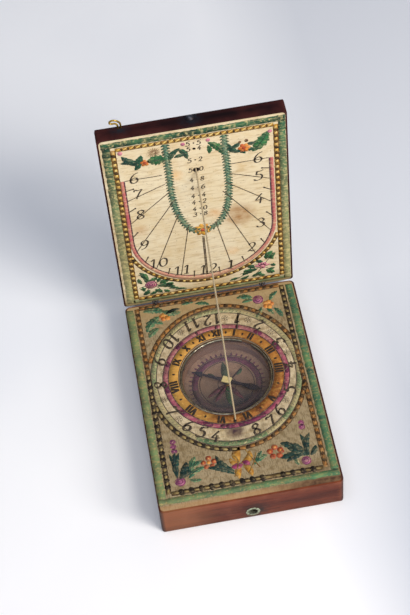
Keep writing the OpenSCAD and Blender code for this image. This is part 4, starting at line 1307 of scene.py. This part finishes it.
class SUNDIAL_OT_base_flowers(bpy.types.Operator):
    """Sprays, roses and the ribbon bow in the corners of the base"""
    bl_idname = "sundial.base_flowers"
    bl_label = "Base flowers"

    DARK = ((-22.4, -72.4, -23.8, -62.6, 1.05, -0.08), (-22.2, -72.2, -20.4, -62.8, 1.25, 0.1),
            (-21.6, -72.4, -18.6, -66.6, 1.6, -0.1), (-21.6, -72.6, -17.2, -70.6, 1.3, 0.1),
            (-22.4, -67.8, -21.6, -62.4, 0.8, 0.1), (-20.6, -70.4, -18.0, -68.2, 1.2, 0.1),
            (-12.2, -70.4, -3.8, -74.4, 1.3, 0.1), (-8.9, -66.2, -3.6, -73.4, 1.35, -0.12),
            (-10.4, -70.6, -6.4, -71.0, 1.0, 0.1), (12.6, -65.8, 17.2, -69.6, 1.4, 0.1),
            (14.6, -68.4, 19.8, -72.2, 1.9, 0.15), (11.4, -71.2, 17.2, -69.8, 1.3, -0.1),
            (13.4, -73.2, 18.8, -71.8, 1.1, 0.1), (20.2, -72.6, 19.6, -63.6, 1.05, -0.08),
            (21.0, -72.4, 22.8, -63.6, 1.2, 0.12), (21.4, -72.2, 23.8, -68.8, 1.1, -0.1),
            (16.0, -67.0, 18.8, -69.0, 0.9, 0.1), (-16.4, -5.8, -11.0, -4.4, 0.8, 0.1))
    PALE = ((-17.8, -71.4, -15.4, -65.2, 1.4, 0.08), (-18.8, -73.2, -12.8, -69.8, 1.15, 0.12),
            (-18.6, -73.4, -14.6, -74.2, 0.85, -0.1), (-17.0, -69.6, -13.4, -67.2, 0.95, 0.1),
            (3.0, -72.2, 7.8, -69.4, 1.3, 0.15), (4.6, -71.0, 6.2, -67.4, 0.9, 0.1),
            (15.9, -72.8, 17.0, -75.2, 0.85, 0.1), (-24.0, -3.2, -16.6, -4.8, 1.7, 0.12),
            (-17.6, -3.8, -10.8, -5.8, 1.5, -0.12), (-23.8, -12.2, -18.6, -6.2, 1.8, 0.1),
            (-23.4, -14.6, -19.4, -11.2, 1.5, 0.1), (-23.4, -8.0, -17.6, -9.8, 1.1, 0.1),
            (-10.4, -3.0, -6.0, -2.6, 0.9, 0.1), (-5.6, -3.4, -0.6, -4.8, 1.0, 0.1),
            (9.0, -4.0, 14.6, -5.0, 1.25, 0.1), (10.6, -6.4, 14.6, -6.0, 0.9, 0.1),
            (20.2, -7.4, 23.6, -3.8, 1.0, 0.1), (16.8, -9.6, 14.2, -13.4, 0.95, 0.1),
            (21.0, -10.8, 23.2, -15.4, 1.1, 0.1), (18.4, -10.6, 20.4, -13.6, 0.8, 0.1))
    # Middle and radius of each pink flower
    PINK = ((-21.8, -58.3, 0.85), (-21.9, -60.2, 0.9), (-21.8, -61.9, 0.85), (-21.6, -73.7, 1.6),
            (20.9, -59.4, 0.85), (20.8, -61.0, 0.9), (19.7, -74.0, 1.45), (16.3, -6.2, 1.7))

    def execute(self, context):
        paper = colours().base_paper
        paint(on_base, "base_dark_leaves", watercolour(
            "dark_green_leaves_base", "#174138", "#0C2626", paper, 0.22, 1.6),
            (*leaves(self.DARK, 26, 4, 0.25), GROUND))
        paint(on_base, "base_leaf_veins", ink("ink_veins_base", "#0F211D", "#2F5A48", 0.3),
              veins(self.DARK), veins(self.PALE))
        paint(on_base, "base_green_leaves", watercolour(
            "mid_green_leaves_base", "#4C7652", "#295843", paper, 0.4, 1.4),
            (*leaves(self.PALE, 28, 5, 0.36), GROUND))
        paint(on_base, "base_pink_flowers", watercolour(
            "pink_flowers_base", "#A86480", "#7C3A60", paper, 0.35, 0.9),
            *[(*discs([row]), WASH) for row in self.PINK])
        rings = [(oval((u, v), r * share, stations), half, GROUND, True) for u, v, r in self.PINK
                 for share, half, stations in ((1, 0.17, 32), (0.5, 0.15, 24))]
        paint(on_base, "base_flower_rings", watercolour(
            "plum_rings_base", "#8A3A62", "#4A2340", paper, 0.3, 0.8), *rings)
        paint(on_base, "base_red_flowers", watercolour(
            "vermilion_flowers_base", "#B4532F", "#7E2C1E", paper, 0.25, 0.8),
            (*discs([(-11.3, -66.8, 1.0), (-13.2, -68.2, 0.95), (-9.7, -68.2, 0.95),
                     (-12.4, -69.9, 0.9), (-10.5, -69.9, 0.9), (12.7, -68.9, 0.7)]), GROUND),
            (*petals((10.5, -68.8), 5, 0.7, 2.9, 1.05, 90), GROUND))
        paint(on_base, "base_orange_flowers", watercolour(
            "orange_flowers_base", "#D8953E", "#BB5A2C", paper, 0.3, 1.2),
            (*discs([(-11.5, -68.4, 0.65), (-13.2, -68.2, 0.35), (-9.7, -68.2, 0.35), (-11.3, -66.8, 0.35),
                     (10.5, -66.9, 0.5), (8.8, -68.3, 0.4), (12.2, -68.3, 0.4)]), LIGHTS),
            (*petals((-16.6, -6.6), 5, 0.1, 2.2, 0.95, 20), GROUND),
            (*petals((19.4, -8.9), 5, 0.1, 2.1, 0.9), GROUND))
        paint(on_base, "base_ribbon_bow", watercolour(
            "yellow_ribbon_base", "#BA862F", "#86541E", paper, 0.4, 0.9),
            (*leaves([(-1.6, -70.2, -0.6, -64.6, 1.5, 0.2), (-1.2, -70.6, 2.2, -66.4, 1.2, -0.25),
                      (-1.4, -71.0, -2.6, -76.4, 1.1, -0.12), (-0.6, -71.4, 1.6, -76.2, 1.1, 0.12),
                      (-1.4, -70.8, -4.6, -68.2, 0.9, 0.2)]), GROUND))
        paint(on_base, "base_bow_knot", watercolour(
            "magenta_knot_base", "#A23E66", "#6A2448", paper, 0.25, 0.9),
            (*leaves([(-0.6, -71.2, -4.6, -71.6, 1.15, 0.05), (-0.8, -70.4, 1.6, -71.8, 0.9, 0.1)]), LINKS))
        paint(on_base, "base_bow_cords", watercolour(
            "ochre_cords_base", "#8C6A30", "#4E3418", paper, 0.25, 0.9),
            ([smooth(points) for points in (((1.0, -65.8), (2.4, -69.0), (4.6, -73.4)),
                                            ((4.2, -67.6), (3.0, -71.0), (0.6, -75.0)),
                                            ((-3.4, -66.6), (-2.0, -70.0), (-4.0, -75.4)))], 0.2, LIGHTS))
        return {"FINISHED"}


class SUNDIAL_OT_compass_rose(bpy.types.Operator):
    """Eight-pointed star and ring drawn on the compass card"""
    bl_idname = "sundial.compass_rose"
    bl_label = "Compass rose"

    def execute(self, context):
        green, plum, dark = [
            (*spindles(facing(turns) * reach / 2, facing(turns), reach, half, 12, 0.9), GROUND)
            for turns, reach, half in (((90, 270), 9.4, 1.25), ((210, 232, 302), 8.6, 0.9),
                                       ((45, 225), 9.2, 0.26))]
        # The ring goes to dark grey towards the front of the card: painted shade.
        paint(on_card, "rose_plum_ring", watercolour(
            "faded_plum_ring", "#844A66", "#5E2E4C", "#504A4A", 0.6, 1.6,
            ("Y", COMPASS_Y + 6, COMPASS_Y - 4, 0.8)),
            (oval((0, 0), (10.9, 10.6), 96), 0.95, WASH, True),
            (*petals((0, 0), 44, 11.6, 13.2, 0.34), WASH))
        paint(on_card, "rose_green_points", watercolour(
            "faded_green_points", "#3E6348", "#22402F", "#6E6658", 0.5, 1.2), green,
            (*spindles([(-4.6, 4.4), (4.9, 4.2)], [(0.7, -0.7), (0.7, 0.7)], 3.4, 0.7, 12, 0.8), WASH))
        paint(on_card, "rose_plum_points", watercolour(
            "faded_plum_points", "#6A3E4C", "#3A2A38", "#56504C", 0.6, 1.2), plum)
        paint(on_card, "rose_dark_points", ink("ink_rose", "#23202C", "#6E645A", 0.4), dark,
              *[(oval((0, 0), radius, 96), 0.13, LINKS, True) for radius in (9.3, 11.9, 3.1)])
        return {"FINISHED"}


class SUNDIAL_OT_fittings(bpy.types.Operator):
    """Hinge wires, catch pin, wire eye, bush and the ring over the glass"""
    bl_idname = "sundial.fittings"
    bl_label = "Fittings"

    def execute(self, context):
        wire = iron("drawn_iron_wire", colours().iron)
        for side in ("left", "right"):
            dress(f"base_hinge_eye_{side}", wire)
            dress(f"lid_hinge_wire_{side}", wire)
        # The pin's top is painted lighter: a painted highlight.
        dress("lid_catch_pin", iron("rubbed_iron_pin", "#34343A", LID_TOP_Z + 0.7))
        dress("lid_wire_eye", brass("yellow_brass_wire", colours().brass, "#4E3A1C", 0.85))
        dress("catch_socket_bush", verdigris())
        dress("glass_retaining_ring", brass("browned_brass_ring", "#8E8878", "#2C2824", 0.85, 0.24))
        return {"FINISHED"}


class SUNDIAL_OT_compass(bpy.types.Operator):
    """Compass card, needle, cap, pivot and glass"""
    bl_idname = "sundial.compass"
    bl_label = "Compass"

    def execute(self, context):
        dress("needle_blade", blued_steel())
        # The cap is near white and barely metallic: a painted highlight.
        dress("needle_cap", brass("filed_brass_cap", "#FFF6B4", "#F4E08A", 0.3, 0.3, 0.1))
        dress("pivot_pin", brass("turned_brass_pin", "#B08D3E", "#6C5426", 0.5))
        dress("compass_glass", dusty_glass())
        dress("compass_rose", compass_card())
        return {"FINISHED"}


OPERATORS = (SUNDIAL_OT_stage, SUNDIAL_OT_thread, SUNDIAL_OT_boards, SUNDIAL_OT_sheets,
             SUNDIAL_OT_lid_borders, SUNDIAL_OT_lid_dial, SUNDIAL_OT_lid_flowers,
             SUNDIAL_OT_base_borders, SUNDIAL_OT_base_dial, SUNDIAL_OT_base_flowers,
             SUNDIAL_OT_compass_rose, SUNDIAL_OT_compass, SUNDIAL_OT_fittings)


class SUNDIAL_PT_panel(bpy.types.Panel):
    """Lists the sundial's settings and its parts in the order they are made"""
    bl_idname = "SUNDIAL_PT_panel"
    bl_label = "Sundial"
    bl_space_type = "VIEW_3D"
    bl_region_type = "UI"
    bl_category = "Sundial"

    def draw(self, context):
        for settings in (context.scene.sundial_sizes, context.scene.sundial_colours):
            box = self.layout.box()
            for name in settings.__annotations__:
                box.prop(settings, name)
        for operator in OPERATORS:
            self.layout.operator(operator.bl_idname)


CLASSES = (SundialSizes, SundialColours, *OPERATORS, SUNDIAL_PT_panel)


def register():
    for one in CLASSES:
        bpy.utils.register_class(one)
    bpy.types.Scene.sundial_sizes = bpy.props.PointerProperty(type=SundialSizes)
    bpy.types.Scene.sundial_colours = bpy.props.PointerProperty(type=SundialColours)


def unregister():
    del bpy.types.Scene.sundial_colours
    del bpy.types.Scene.sundial_sizes
    for one in reversed(CLASSES):
        bpy.utils.unregister_class(one)


def main():
    """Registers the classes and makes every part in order."""
    register()
    for operator in OPERATORS:
        group, name = operator.bl_idname.split(".")
        getattr(getattr(bpy.ops, group), name)()


if __name__ == "__main__":
    main()
